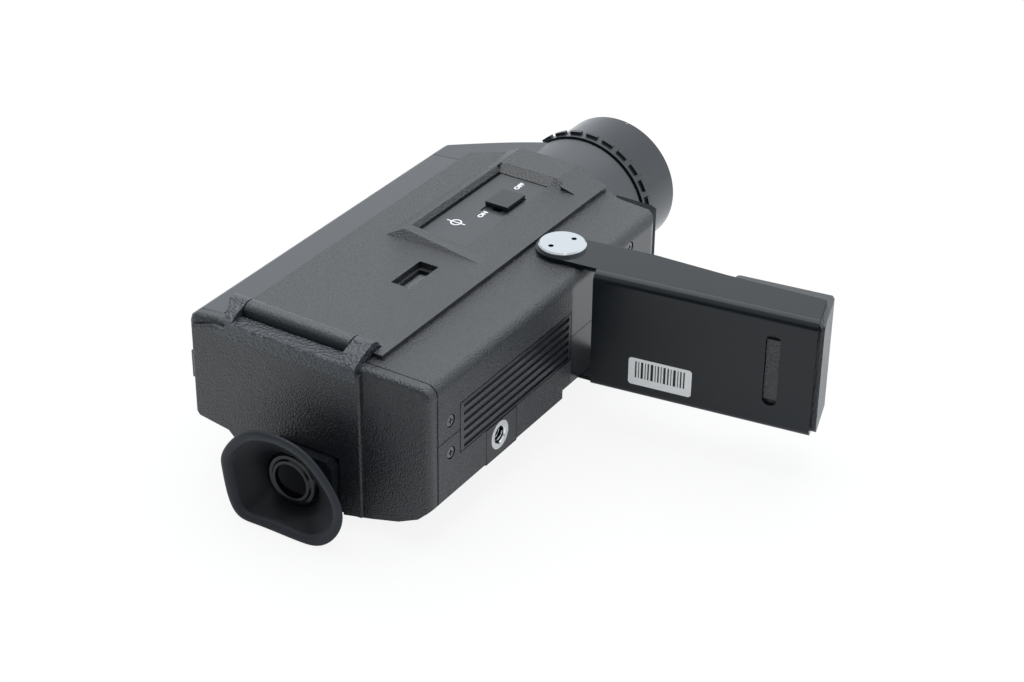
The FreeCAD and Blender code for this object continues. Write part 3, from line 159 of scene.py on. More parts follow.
def grained_plastic(name, dark, pale, roughness, depth=GRAIN_DEPTH, gloss=0.8, seams=(),
                    smooth=None, coarse=None):
    """Moulded plastic with a leather grain; smooth and coarse give the share of each by place."""
    material, tree, shader = new_material(name)
    place, along = coordinates(tree)
    height = leather_height(tree, place, GRAIN_SIZE)
    if coarse:
        share = coarse(tree, along)
        rough_height = leather_height(tree, place, COARSER * GRAIN_SIZE)
        rough_height = reckon(tree, "MULTIPLY", rough_height, DEEPER)
        mix = add_node(tree, "ShaderNodeMix")
        tree.links.new(share, mix.inputs[0])
        tree.links.new(height, mix.inputs[2])
        tree.links.new(rough_height, mix.inputs[3])
        height = mix.outputs[0]
    colour = blend_colours(tree, height, pale, dark)
    # The coarse places are painted paler, a painted highlight for the light their coarse grain
    # catches.
    if coarse:
        bar_highlight = tuple(BAR_HIGHLIGHT_PALER * part for part in pale)
        colour = blend_colours(tree, reckon(tree, "MULTIPLY", share, 0.5), colour, bar_highlight)
    if smooth:
        share = smooth(tree, along)
        height = reckon(tree, "MULTIPLY", height, reckon(tree, "SUBTRACT", 1.0, share))
        worn = reckon(tree, "MULTIPLY_ADD", share, -POLISH, roughness)
    else:
        wear = add_node(tree, "ShaderNodeTexNoise", Scale=60.0, Detail=2.0)
        tree.links.new(place, wear.inputs["Vector"])
        worn = reckon(tree, "MULTIPLY_ADD", wear.outputs["Fac"], WEAR_SPREAD,
                      roughness - WEAR_SPREAD / 2)
    tree.links.new(worn, shader.inputs["Roughness"])
    colour_with_seams(tree, shader, along, colour, seams)
    shader.inputs["Specular IOR Level"].default_value = gloss
    raise_surface(tree, shader, height, depth)
    return material


def within(tree, along, box):
    """1 inside a box given by its ends along X, Y and Z."""
    inside = 1.0
    for socket, (start, end) in zip(along, box):
        inside = reckon(tree, "MULTIPLY", inside, reckon(tree, "GREATER_THAN", socket, start))
        inside = reckon(tree, "MULTIPLY", inside, reckon(tree, "LESS_THAN", socket, end))
    return inside


def smooth_places(tree, along):
    """The front of the underside, and partly the hinge's barrel and both ends of the wedge."""
    share = within(tree, along, UNDERSIDE_FRONT)
    for box in (HINGE_BARREL, REAR_RAMP, FRONT_BROW):
        part = reckon(tree, "MULTIPLY", within(tree, along, box), PART_SMOOTH)
        share = reckon(tree, "MAXIMUM", share, part)
    return share


def finish_nodes(names, material):
    """Gives CAD pieces their finish."""
    for name in names:
        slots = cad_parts[name].data.materials
        slots.clear()
        slots.append(material)


shell_grain = grained_plastic(
    "shell_grain", SHELL_DARK, SHELL_PALE, 0.38, smooth=smooth_places,
    seams=((2, 0.0383), (0, -0.0831)))
finish_nodes(["right_shell", "left_shell"], shell_grain)

# Film chamber and its metalwork
# A black moulded liner holds the film cartridge; in front of it stand the pressed steel gate,
# the plate that carries the shafts, and the motor's plate on its four posts.

INNER_BLACK = (0.012, 0.012, 0.013)
INNER_GREY = (0.022, 0.022, 0.024)
STEEL = (0.50, 0.50, 0.51)
FLOW_SPREAD = 0.10
SKIN_DEPTH = 0.000012
LINE_DEPTH = 0.00003


def plain_plastic(name, dark, pale, roughness, seams=(), gloss=0.5):
    """Smooth moulding with faint flow marks and a fine skin."""
    material, tree, shader = new_material(name)
    place, along = coordinates(tree)
    flow = add_node(tree, "ShaderNodeTexNoise", Scale=45.0, Detail=3.0)
    skin = add_node(tree, "ShaderNodeTexNoise", Scale=2600.0, Detail=2.0)
    for texture in (flow, skin):
        tree.links.new(place, texture.inputs["Vector"])
    colour = blend_colours(tree, flow.outputs["Fac"], dark, pale)
    colour_with_seams(tree, shader, along, colour, seams)
    tree.links.new(
        reckon(tree, "MULTIPLY_ADD", flow.outputs["Fac"], FLOW_SPREAD, roughness - FLOW_SPREAD / 2),
        shader.inputs["Roughness"])
    shader.inputs["Specular IOR Level"].default_value = gloss
    raise_surface(tree, shader, skin.outputs["Fac"], SKIN_DEPTH)
    return material


def drawn_metal(name, colour, roughness, stretch, wear=0.28):
    """Metal with fine drawing lines, long in the direction in which the stretch is small."""
    material, tree, shader = new_material(name)
    place = coordinates(tree)[0]
    lay = add_node(tree, "ShaderNodeMapping")
    lay.inputs["Scale"].default_value = stretch
    lines = add_node(tree, "ShaderNodeTexNoise", Scale=900.0, Detail=3.0)
    tree.links.new(place, lay.inputs["Vector"])
    tree.links.new(lay.outputs["Vector"], lines.inputs["Vector"])
    darker = tuple((1 - wear) * part for part in colour)
    tree.links.new(blend_colours(tree, lines.outputs["Fac"], darker, colour),
                   shader.inputs["Base Color"])
    tree.links.new(reckon(tree, "MULTIPLY_ADD", lines.outputs["Fac"], 0.15, roughness - 0.07),
                   shader.inputs["Roughness"])
    shader.inputs["Metallic"].default_value = 1.0
    raise_surface(tree, shader, lines.outputs["Fac"], LINE_DEPTH * wear)
    return material


inner_plastic = plain_plastic("inner_plastic", INNER_BLACK, INNER_GREY, 0.55)
pressed_steel = drawn_metal("pressed_steel", STEEL, 0.34, (1.0, 0.06, 1.0))
finish_nodes(["film_liner"], inner_plastic)
finish_nodes(["film_gate", "chassis_plate", "motor_plate"], pressed_steel)

# Motor, gears and shutter
# A small motor drives the shutter through brass gears; an eccentric on its shaft moves the claw,
# and a cross shaft turns the wheel that winds the film up. All turned or stamped metal.

BRASS = (0.62, 0.46, 0.22)
ALLOY = (0.55, 0.56, 0.58)
CHEMICAL_BLACK = (0.03, 0.03, 0.032)

turned_steel = drawn_metal("turned_steel", STEEL, 0.28, (0.08, 1.0, 1.0))
brass = drawn_metal("brass", BRASS, 0.30, (1.0, 1.0, 0.3))
motor_can = drawn_metal("motor_can", ALLOY, 0.36, (0.05, 1.0, 1.0))
blackened_steel = drawn_metal("blackened_steel", CHEMICAL_BLACK, 0.50, (1.0, 0.5, 0.5))
finish_nodes(["motor_body"], motor_can)
finish_nodes(["motor_pinion", "idler_gear", "shutter_gear", "worm_shaft_gear", "take_up_wheel"],
             brass)
finish_nodes(["motor_shaft", "idler_stud", "shutter_shaft", "worm_shaft", "take_up_spindle",
              "film_claw"], turned_steel)
finish_nodes(["shutter_disc"], blackened_steel)

# Battery tray and cells
# A moulded tray takes two cells end to end with sprung steel contacts.
# The cells wear a shrunk plastic sleeve, bare but for a band near the raised end.

SLEEVE = (0.030, 0.045, 0.075)
SLEEVE_BAND = (0.35, 0.22, 0.09)
BAND_FROM = -0.0300
SLEEVE_REAR = -0.0652
SLEEVE_FRONT = -0.0184
SLEEVE_ROUGHNESS = 0.22
SLEEVE_SPREAD = 0.10

cell_sleeve, tree, shader = new_material("cell_sleeve")
place, along = coordinates(tree)
shrinkage = add_node(tree, "ShaderNodeTexNoise", Scale=400.0, Detail=2.0)
tree.links.new(place, shrinkage.inputs["Vector"])
banded = blend_colours(tree, reckon(tree, "GREATER_THAN", along[0], BAND_FROM), SLEEVE, SLEEVE_BAND)
at_ends = reckon(tree, "MAXIMUM", reckon(tree, "LESS_THAN", along[0], SLEEVE_REAR),
                 reckon(tree, "GREATER_THAN", along[0], SLEEVE_FRONT))
tree.links.new(blend_colours(tree, at_ends, banded, STEEL), shader.inputs["Base Color"])
tree.links.new(at_ends, shader.inputs["Metallic"])
tree.links.new(
    reckon(tree, "MULTIPLY_ADD", shrinkage.outputs["Fac"], SLEEVE_SPREAD, SLEEVE_ROUGHNESS),
    shader.inputs["Roughness"])
finish_nodes(["battery_cell_1", "battery_cell_2"], cell_sleeve)
finish_nodes(["battery_tray"], inner_plastic)
finish_nodes(["contact_rear", "contact_front"], pressed_steel)

# Battery lid
# Smooth black moulding with six finger grooves, snapped into the underside; it comes off downward.

LID_DARK = (0.007, 0.009, 0.012)
LID_PALE = (0.013, 0.015, 0.019)
LID_EDGES = ((0, -0.07056), (0, -0.00374), (2, 0.02964), (2, 0.04776))

lid_plastic = plain_plastic(
    "lid_plastic", LID_DARK, LID_PALE, 0.34, gloss=0.7, seams=LID_EDGES)
finish_nodes(["battery_door"], lid_plastic)

# Tripod block and bush
# A plated bush with a quarter inch thread, pressed into a smooth block between the shells.
# The thread is a ridge that winds up the bore.

BLOCK_EDGES = ((0, -0.05549), (0, -0.03741), (2, 0.01611), (2, 0.02929))
BUSH_AXIS = (35.9, -14.75)
BORE_RADIUS = 0.0026
MOUTH_RADIUS = 0.00285
THREAD_PITCH = 0.00127
THREAD_TURNS = 3
THREAD_STEPS = 24
RIDGE = 0.0004
RIDGE_SUNK = 0.0001
RIDGE_START = 0.9
NICKEL = (0.86, 0.87, 0.88)
HOLE_SHADE = (0.01, 0.01, 0.01)


def on_camera(forward, high, right):
    """A place in millimetres forward of the door, above the underside and right of the middle."""
    return Vector((forward - 83.3, high - 5.9, right + 38.3)) / 1000


def pick_only(piece):
    """Selects this object and no other."""
    bpy.ops.object.select_all(action="DESELECT")
    piece.select_set(True)
    bpy.context.view_layer.objects.active = piece


def fit_piece(piece, name, material, body):
    """Settles a finished piece's place into its mesh, names it and fixes it to its body."""
    pick_only(piece)
    bpy.ops.object.transform_apply(location=True, rotation=True, scale=True)
    piece.name = name
    piece.data.materials.clear()
    piece.data.materials.append(material)
    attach(piece, body)


def shape_with(piece, kind, **settings):
    """Adds a modifier and applies it."""
    modifier = piece.modifiers.new(kind.lower(), kind)
    for key, value in settings.items():
        setattr(modifier, key, value)
    pick_only(piece)
    bpy.ops.object.modifier_apply(modifier=modifier.name)


def paint_shade_in_holes(material, shafts):
    """Paints shade into holes, black inside each: each shaft gives its two axes, its centre and its
    radius.
    """
    tree = material.node_tree
    shader = tree.nodes["Principled BSDF"]
    along = coordinates(tree)[1]
    inside = 0.0
    for axes, centre, radius in shafts:
        squares = 0.0
        for axis, middle in zip(axes, centre):
            offset = reckon(tree, "SUBTRACT", along[axis], middle)
            squares = reckon(tree, "MULTIPLY_ADD", offset, offset, squares)
        within_radius = reckon(tree, "LESS_THAN", squares, radius * radius)
        inside = reckon(tree, "MAXIMUM", inside, within_radius)
    colour = shader.inputs["Base Color"].links[0].from_socket
    tree.links.new(blend_colours(tree, inside, colour, HOLE_SHADE), shader.inputs["Base Color"])


block_plastic = plain_plastic(
    "block_plastic", LID_DARK, LID_PALE, 0.36, gloss=0.7, seams=BLOCK_EDGES)
bright_plate = drawn_metal("bright_plate", NICKEL, 0.20, (1.0, 1.0, 1.0), wear=0.10)
bush_centre = on_camera(BUSH_AXIS[0], 0, BUSH_AXIS[1])
# The bore is painted black, painted shade for the inside of the hole.
paint_shade_in_holes(bright_plate, (((0, 2), (bush_centre.x, bush_centre.z), MOUTH_RADIUS),))
finish_nodes(["tripod_block"], block_plastic)
finish_nodes(["tripod_bush"], bright_plate)
thread_plate = drawn_metal("thread_plate", NICKEL, 0.24, (1.0, 1.0, 1.0), wear=0.35)
bpy.ops.object.select_all(action="DESELECT")
bpy.ops.mesh.primitive_circle_add(
    vertices=3, radius=RIDGE, location=on_camera(BUSH_AXIS[0], RIDGE_START, BUSH_AXIS[1]))
thread = bpy.context.object
bpy.ops.object.mode_set(mode="EDIT")
bpy.ops.mesh.select_all(action="SELECT")
bpy.ops.transform.translate(value=(BORE_RADIUS - RIDGE_SUNK, 0, 0))
bpy.ops.object.mode_set(mode="OBJECT")
shape_with(thread, "SCREW", axis="Y", screw_offset=THREAD_PITCH, iterations=THREAD_TURNS,
           steps=THREAD_STEPS, render_steps=THREAD_STEPS)
bpy.ops.object.mode_set(mode="EDIT")
bpy.ops.mesh.select_all(action="SELECT")
bpy.ops.mesh.fill_holes(sides=3)
bpy.ops.mesh.normals_make_consistent(inside=False)
bpy.ops.object.mode_set(mode="OBJECT")
fit_piece(thread, "tripod_thread", thread_plate, "camera")

# Case screws
# Blackened steel screws with a cross recess, sunk into the underside to hold the shells together.

HEAD_RADIUS = 0.0020
HEAD_THICK = 0.0009
CROSS_LONG = 0.0023
CROSS_WIDE = 0.0005
CROSS_DEEP = 0.0010
SUNK = 0.25
SCREW_STEEL = (0.20, 0.20, 0.21)
SCREW_SPOTS = ((7.5, 5.9), (7.5, -5.9), (118.0, 16.5))
SHARP_EDGE = math.radians(50)

screw_steel = drawn_metal("screw_steel", SCREW_STEEL, 0.32, (1.0, 1.0, 1.0))
for number, (forward, right) in enumerate(SCREW_SPOTS, start=1):
    bpy.ops.object.select_all(action="DESELECT")
    seat = on_camera(forward, SUNK, right) + Vector((0, HEAD_THICK / 2, 0))
    bpy.ops.mesh.primitive_cylinder_add(
        vertices=40, radius=HEAD_RADIUS, depth=HEAD_THICK, location=seat,
        rotation=(math.pi / 2, 0, 0))
    screw = bpy.context.object
    shape_with(screw, "BEVEL", width=0.0003, segments=3, angle_limit=SHARP_EDGE)
    for arm_size in ((CROSS_LONG, CROSS_DEEP, CROSS_WIDE), (CROSS_WIDE, CROSS_DEEP, CROSS_LONG)):
        bpy.ops.object.select_all(action="DESELECT")
        bpy.ops.mesh.primitive_cube_add(size=1, location=seat - Vector((0, HEAD_THICK / 2, 0)))
        arm = bpy.context.object
        arm.scale = arm_size
        bpy.ops.object.transform_apply(location=False, rotation=False, scale=True)
        shape_with(screw, "BOOLEAN", object=arm, operation="DIFFERENCE")
        bpy.data.objects.remove(arm)
    fit_piece(screw, f"case_screw_{number}", screw_steel, "camera")
    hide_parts("case_screws")

# Covers, front plate and run button
# The smooth satin band along the top and the nose round the lens are one colour with the shells.
# A gloss strip covers the front below the lens, with the run button in it.

SATIN_DARK = (0.013, 0.016, 0.020)
SATIN_PALE = (0.020, 0.024, 0.029)
ENAMEL = (0.003, 0.005, 0.007)
ENAMEL_PALE = (0.005, 0.008, 0.011)

satin_cover = plain_plastic(
    "satin_cover", SATIN_DARK, SATIN_PALE, 0.36, gloss=0.9,
    seams=((0, 0.0501), (0, -0.0831)))
gloss_black = plain_plastic("gloss_black", ENAMEL, ENAMEL_PALE, 0.20, gloss=0.05)
button_plastic = plain_plastic("button_plastic", SATIN_DARK, SATIN_PALE, 0.30, gloss=0.7)
finish_nodes(["top_cover", "front_cover", "door_latch"], satin_cover)
finish_nodes(["front_plate"], gloss_black)
finish_nodes(["run_button"], button_plastic)
finish_nodes(["run_switch"], inner_plastic)

# Lens
# Satin black barrel, a ribbed focus ring in one with the hood, and coated glass in turned cells.
# A thin black strip runs forward from each notch of the ring, a painted shadow of the lugs' sides
# on the hood, and a white dot is painted on the hood as a mark.

LENS_BLACK = (0.008, 0.010, 0.013)
LENS_GREY = (0.013, 0.015, 0.019)
LENS_AXIS = (46.2, 0.0)
HOOD_RADIUS = 24.9
NOTCHES = 25
NOTCH_FORWARD = 170.2
NOTCH_SHADOW = (0.0036, 0.00012, 0.00038)
DOT_FORWARD = 187.7
DOT_TURN = math.radians(10.5)
DOT_RADIUS = 0.00030
DOT_THICK = 0.00010

lens_satin = plain_plastic("lens_satin", LENS_BLACK, LENS_GREY, 0.22, gloss=0.64)
cell_black = drawn_metal("cell_black", (0.035, 0.036, 0.04), 0.42, (1.0, 0.2, 0.2))
finish_nodes(["lens_barrel", "focus_ring"], lens_satin)
finish_nodes(["front_cell", "rear_cell"], cell_black)


def clear_glass(name, tint, edge_tint, bending=1.52, clear=1.0):
    """Glass whose coating turns the tint towards its rim."""
    material, tree, shader = new_material(name)
    rim = add_node(tree, "ShaderNodeLayerWeight", Blend=0.35)
    tree.links.new(blend_colours(tree, rim.outputs["Facing"], tint, edge_tint),
                   shader.inputs["Base Color"])
    shader.inputs["Roughness"].default_value = 0.02
    shader.inputs["IOR"].default_value = bending
    shader.inputs["Transmission Weight"].default_value = clear
    return material


lens_glass = clear_glass("lens_glass", (0.72, 0.80, 0.86), (0.52, 0.38, 0.62))
finish_nodes(["front_lens", "rear_lens"], lens_glass)

white_paint = plain_plastic("white_paint", (0.78, 0.79, 0.80), (0.84, 0.85, 0.86), 0.45)
print_and_shadow_black = plain_plastic("print_and_shadow_black", (0.004, 0.004, 0.004), (0.007, 0.007, 0.007), 0.5)
ivory_paint = plain_plastic("ivory_paint", (0.42, 0.40, 0.32), (0.50, 0.48, 0.40), 0.5)

# Painted shadow: a thin black strip forward of each notch, where the lugs' sides throw shadow on
# the hood.
bpy.ops.object.select_all(action="DESELECT")
bpy.ops.mesh.primitive_cube_add(
    size=1, location=on_camera(NOTCH_FORWARD, LENS_AXIS[0] + HOOD_RADIUS, 0))
marks = bpy.context.object
marks.scale = NOTCH_SHADOW
bpy.ops.object.transform_apply(location=False, rotation=False, scale=True)
shape_with(marks, "BEVEL", width=0.00005, segments=1)
axis = on_camera(0, *LENS_AXIS)
copies = [marks]
for turn in range(1, NOTCHES):
    line = marks.copy()
    line.data = marks.data.copy()
    bpy.context.collection.objects.link(line)
    spin = Matrix.Rotation(2 * math.pi * turn / NOTCHES, 4, "X")
    line.matrix_world = (Matrix.Translation(axis) @ spin @ Matrix.Translation(-axis)
                         @ marks.matrix_world)
    copies.append(line)
pick_only(marks)
for line in copies:
    line.select_set(True)
bpy.ops.object.join()
fit_piece(marks, "focus_ring_notch_shadows", print_and_shadow_black, "focus_group")

bpy.ops.object.select_all(action="DESELECT")
bpy.ops.mesh.primitive_cylinder_add(vertices=24, radius=DOT_RADIUS, depth=DOT_THICK)
dot = bpy.context.object
shape_with(dot, "BEVEL", width=0.00003, segments=2)
lift = Vector((0, -math.sin(DOT_TURN), math.cos(DOT_TURN))) * HOOD_RADIUS / 1000
dot.matrix_world = (Matrix.Translation(on_camera(DOT_FORWARD, *LENS_AXIS) + lift)
                    @ Matrix.Rotation(DOT_TURN, 4, "X"))
fit_piece(dot, "hood_dot", ivory_paint, "focus_group")

# Rear door
# The whole back opens on a steel pin. The door has the shells' leather grain,
# and its hinge bar and ears a coarser one, painted paler as a highlight for the light that grain
# catches.

BAR_LOW = 0.0553
BAR_SPAN = (0.0208, 0.0762)


def on_hinge_bar(tree, along):
    """1 on the bar and its ears."""
    above = reckon(tree, "GREATER_THAN", along[2], BAR_LOW)
    inside = reckon(tree, "MULTIPLY", reckon(tree, "GREATER_THAN", along[1], BAR_SPAN[0]),
                    reckon(tree, "LESS_THAN", along[1], BAR_SPAN[1]))
    return reckon(tree, "MULTIPLY", above, inside)


door_grain = grained_plastic(
    "door_grain", SHELL_DARK, SHELL_PALE, 0.36, coarse=on_hinge_bar,
    seams=((0, -0.08341, (2, BAR_LOW)),))
finish_nodes(["rear_door"], door_grain)
finish_nodes(["hinge_pin"], turned_steel)

# Finder and eyepiece
# A grained block behind the body carries the tube and the stepped ring with its lens. The eye looks
# down a flocked bore; both lenses are opaque and black, painted shade for the dark bore behind
# them.

FLOCK = (0.0006, 0.0006, 0.0006)
FLOCK_PALE = (0.0012, 0.0012, 0.0014)
LENS_SHADE = (0.0010, 0.0010, 0.0015)
LENS_SHADE_RIM = (0.0020, 0.0020, 0.0030)
RING_BLACK = (0.003, 0.0035, 0.0045)
RING_PALE = (0.005, 0.006, 0.007)

flock_black = plain_plastic("flock_black", FLOCK, FLOCK_PALE, 0.9, gloss=0.0)
# Both lenses are opaque and near black, painted shade for the dark bore behind them.
finder_glass_shade = clear_glass("finder_glass_shade", LENS_SHADE, LENS_SHADE_RIM, bending=1.13, clear=0.0)
ring_black = plain_plastic("ring_black", RING_BLACK, RING_PALE, 0.11, gloss=0.32)
# The housing's grain has the shell's dark colour only, painted shade for the deep shadow around the
# eyecup.
housing_grain_shaded = grained_plastic(
    "housing_grain_shaded", SHELL_DARK, SHELL_DARK, 0.42, depth=0.00018, gloss=0.35)
finish_nodes(["eyepiece_housing"], housing_grain_shaded)
finish_nodes(["finder_tube"], flock_black)
finish_nodes(["eyepiece_ring"], ring_black)
finish_nodes(["eyepiece_lens", "finder_front_lens"], finder_glass_shade)

# Eyecup
# Soft black rubber, moulded as a flared funnel with a rolled rim and stretched over the ring.

CUP_AXIS = (47.0, -22.0)
CUP_NECK = 10.9
CUP_OUTLINE = ((69.8, -15.4), (69.4, -20.0), (68.3, -27.7), (66.7, -34.1), (63.3, -38.7),
               (55.7, -38.1), (47.1, -38.2), (38.1, -38.3), (31.4, -37.7), (25.2, -32.8),
               (21.3, -25.3), (21.4, -18.4), (24.4, -12.9), (32.1, -3.4), (42.2, 0.1),
               (54.0, -0.5), (62.8, -5.3))
# rearward place, share of the rim's outline and how far inside it: out along the funnel's inside,
# over the rim and back along its outside
CUP_STATIONS = ((11.2, 0.00, 1.2), (13.6, 0.10, 1.6), (16.6, 0.36, 2.4), (19.0, 0.72, 3.4),
                (20.2, 0.93, 4.2), (20.7, 0.98, 3.9), (21.6, 0.99, 3.5), (22.1, 1.00, 2.4),
                (21.9, 1.00, 0.8), (21.2, 1.00, 0.0), (20.2, 0.97, 0.0), (18.2, 0.68, 0.0),
                (15.0, 0.24, 0.0), (11.2, 0.00, 0.0))
RIM_FROM = -0.1036
RIM_FULL = -0.1042
SAME_PLACE = 0.000001
RUBBER_BLACK = (0.004, 0.005, 0.007)
RUBBER_GREY = (0.008, 0.009, 0.012)
RIM_HIGHLIGHT_DARK = (0.020, 0.022, 0.027)
RIM_HIGHLIGHT_PALE = (0.032, 0.035, 0.042)
PORE_DEPTH = 0.00002


def cup_ring(back, spread, inset):
    """A ring of points across the finder's axis, between the round neck and the rim's outline."""
    ring = []
    for high, right in CUP_OUTLINE:
        across = Vector((high - CUP_AXIS[0], right - CUP_AXIS[1]))
        reach = CUP_NECK * (1 - spread) + across.length * spread - inset
        across = across.normalized() * reach
        ring.append(on_camera(-back, CUP_AXIS[0] + across.x, CUP_AXIS[1] + across.y))
    return ring


rubber, tree, shader = new_material("rubber")
place, along = coordinates(tree)
bloom = add_node(tree, "ShaderNodeTexNoise", Scale=90.0, Detail=3.0)
pores = add_node(tree, "ShaderNodeTexNoise", Scale=3200.0, Detail=2.0)
tree.links.new(place, bloom.inputs["Vector"])
tree.links.new(place, pores.inputs["Vector"])
at_rim = add_node(tree, "ShaderNodeMapRange", interpolation_type="SMOOTHSTEP",
                  From_Min=RIM_FROM, From_Max=RIM_FULL)
tree.links.new(along[0], at_rim.inputs["Value"])
# Towards the rim the rubber is painted paler, a painted highlight for the light the rolled lip
# catches.
own_rubber = blend_colours(tree, bloom.outputs["Fac"], RUBBER_BLACK, RUBBER_GREY)
rim_highlight = blend_colours(tree, bloom.outputs["Fac"], RIM_HIGHLIGHT_DARK, RIM_HIGHLIGHT_PALE)
tree.links.new(blend_colours(tree, at_rim.outputs["Result"], own_rubber, rim_highlight),
               shader.inputs["Base Color"])
tree.links.new(reckon(tree, "MULTIPLY_ADD", bloom.outputs["Fac"], 0.14, 0.38),
               shader.inputs["Roughness"])
shader.inputs["Specular IOR Level"].default_value = 0.2
raise_surface(tree, shader, pores.outputs["Fac"], PORE_DEPTH)


def open_with(piece, kind, chosen):
    """Edit mode with only the vertices, edges or faces of these numbers selected."""
    pick_only(piece)
    bpy.ops.object.mode_set(mode="EDIT")
    bpy.ops.mesh.select_mode(type=kind)
    bpy.ops.mesh.select_all(action="DESELECT")
    bpy.ops.object.mode_set(mode="OBJECT")
    mesh = piece.data
    parts = {"VERT": mesh.vertices, "EDGE": mesh.edges, "FACE": mesh.polygons}[kind]
    for number in chosen:
        parts[number].select = True
    bpy.ops.object.mode_set(mode="EDIT")


bpy.ops.object.select_all(action="DESELECT")
bpy.ops.mesh.primitive_circle_add(vertices=len(CUP_OUTLINE), radius=0.01)
eyecup = bpy.context.object
ring = cup_ring(*CUP_STATIONS[0])
for vertex, point in zip(eyecup.data.vertices, ring):
    vertex.co = point
for station in CUP_STATIONS[1:]:
    bpy.ops.object.mode_set(mode="EDIT")
    bpy.ops.mesh.extrude_region_move()
    bpy.ops.object.mode_set(mode="OBJECT")
    next_ring = cup_ring(*station)
    for vertex in eyecup.data.vertices:
        if vertex.select:
            nearest = min(range(len(ring)), key=lambda spot: (vertex.co - ring[spot]).length)
            vertex.co = next_ring[nearest]
    ring = next_ring
both_ends = ring + cup_ring(*CUP_STATIONS[0])
open_with(eyecup, "VERT", [
    vertex.index for vertex in eyecup.data.vertices
    if min((vertex.co - point).length for point in both_ends) < SAME_PLACE])
bpy.ops.mesh.bridge_edge_loops()
bpy.ops.mesh.select_all(action="SELECT")
bpy.ops.mesh.normals_make_consistent(inside=False)
bpy.ops.object.mode_set(mode="OBJECT")
shape_with(eyecup, "SUBSURF", levels=3, render_levels=3)
bpy.ops.object.shade_smooth()
fit_piece(eyecup, "eyecup_rubber", rubber, "eyepiece")
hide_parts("eyecup")

# Switch panel
# Satin plate in a recess with a sliding knob. The words at both ends of its way and the mark
# that shows where the film lies are printed in white.

PLATE_DARK = (0.014, 0.017, 0.020)
PLATE_PALE = (0.021, 0.025, 0.029)
PLATE_TOP = 23.6
KNOB_DARK = (0.007, 0.009, 0.011)
KNOB_PALE = (0.011, 0.013, 0.016)
KNOB_PLACE = (111.6, 46.6, 24.4)
KNOB_SIZE = (0.0116, 0.0092, 0.0014)
FOOT_INSET = 0.0009
FOOT_LONG = 0.0016
PRINT_THICK = 0.00002
LETTER_HIGH = 0.0024
LETTER_WIDER = 1.25
WORDS = (("ON", 99.4, 48.0), ("OFF", 124.2, 48.7))
FILM_MARK_PLACE = (89.6, 52.5, PLATE_TOP)
FILM_MARK_RADIUS = 0.0018
FILM_LINE_LONG = 0.0074
FILM_LINE_WIDE = 0.0005

plate_plastic = plain_plastic("plate_plastic", PLATE_DARK, PLATE_PALE, 0.34, gloss=0.74)
knob_plastic = plain_plastic("knob_plastic", KNOB_DARK, KNOB_PALE, 0.32, gloss=0.55)
finish_nodes(["switch_plate"], plate_plastic)
bpy.ops.object.select_all(action="DESELECT")
bpy.ops.mesh.primitive_cube_add(size=1, location=on_camera(*KNOB_PLACE))
knob = bpy.context.object
knob.scale = KNOB_SIZE
bpy.ops.object.transform_apply(location=False, rotation=False, scale=True)
open_with(knob, "FACE", [face.index for face in knob.data.polygons if face.normal.z < -0.9])
bpy.ops.mesh.inset(thickness=FOOT_INSET)
bpy.ops.mesh.extrude_region_move(TRANSFORM_OT_translate={"value": (0, 0, -FOOT_LONG)})
bpy.ops.object.mode_set(mode="OBJECT")
shape_with(knob, "BEVEL", width=0.00018, segments=3, angle_limit=SHARP_EDGE)
fit_piece(knob, "power_knob", knob_plastic, "slider")
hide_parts("power_slider")

for word, forward, high in WORDS:
    bpy.ops.object.select_all(action="DESELECT")
    bpy.ops.object.text_add(location=on_camera(forward, high, PLATE_TOP))
    print_word = bpy.context.object
    print_word.data.body = word
    print_word.data.align_x = "CENTER"
    print_word.data.align_y = "CENTER"
    print_word.data.size = LETTER_HIGH
    print_word.data.offset = 0.00012
    print_word.data.extrude = PRINT_THICK
    bpy.ops.object.convert(target="MESH")
    print_word.scale = (LETTER_WIDER, 1.0, 1.0)
    fit_piece(print_word, "print_" + word.lower(), white_paint, "camera")

bpy.ops.object.select_all(action="DESELECT")
bpy.ops.mesh.primitive_torus_add(
    location=on_camera(*FILM_MARK_PLACE), major_radius=FILM_MARK_RADIUS, minor_radius=0.00028,
    major_segments=48, minor_segments=8)
film_mark = bpy.context.object
film_mark.scale = (1, 1, 0.08)
bpy.ops.mesh.primitive_cube_add(size=1, location=on_camera(*FILM_MARK_PLACE))
film_line = bpy.context.object
film_line.scale = (FILM_LINE_WIDE, FILM_LINE_LONG, 2 * PRINT_THICK)
pick_only(film_line)
film_mark.select_set(True)
bpy.context.view_layer.objects.active = film_mark
bpy.ops.object.join()
fit_piece(film_mark, "film_plane_mark", white_paint, "camera")

# Film window
# A clear pane in a stepped hole of the right shell shows whether a cartridge is in.

window_glass = clear_glass("window_glass", (0.80, 0.84, 0.86), (0.70, 0.74, 0.78))
finish_nodes(["film_window"], window_glass)

# Grip
# Sheet steel folded to a U and enamelled gloss black, with a grained block in its end.
# It folds on two plated screws with spanner holes. A paper label with bars is stuck to its back.

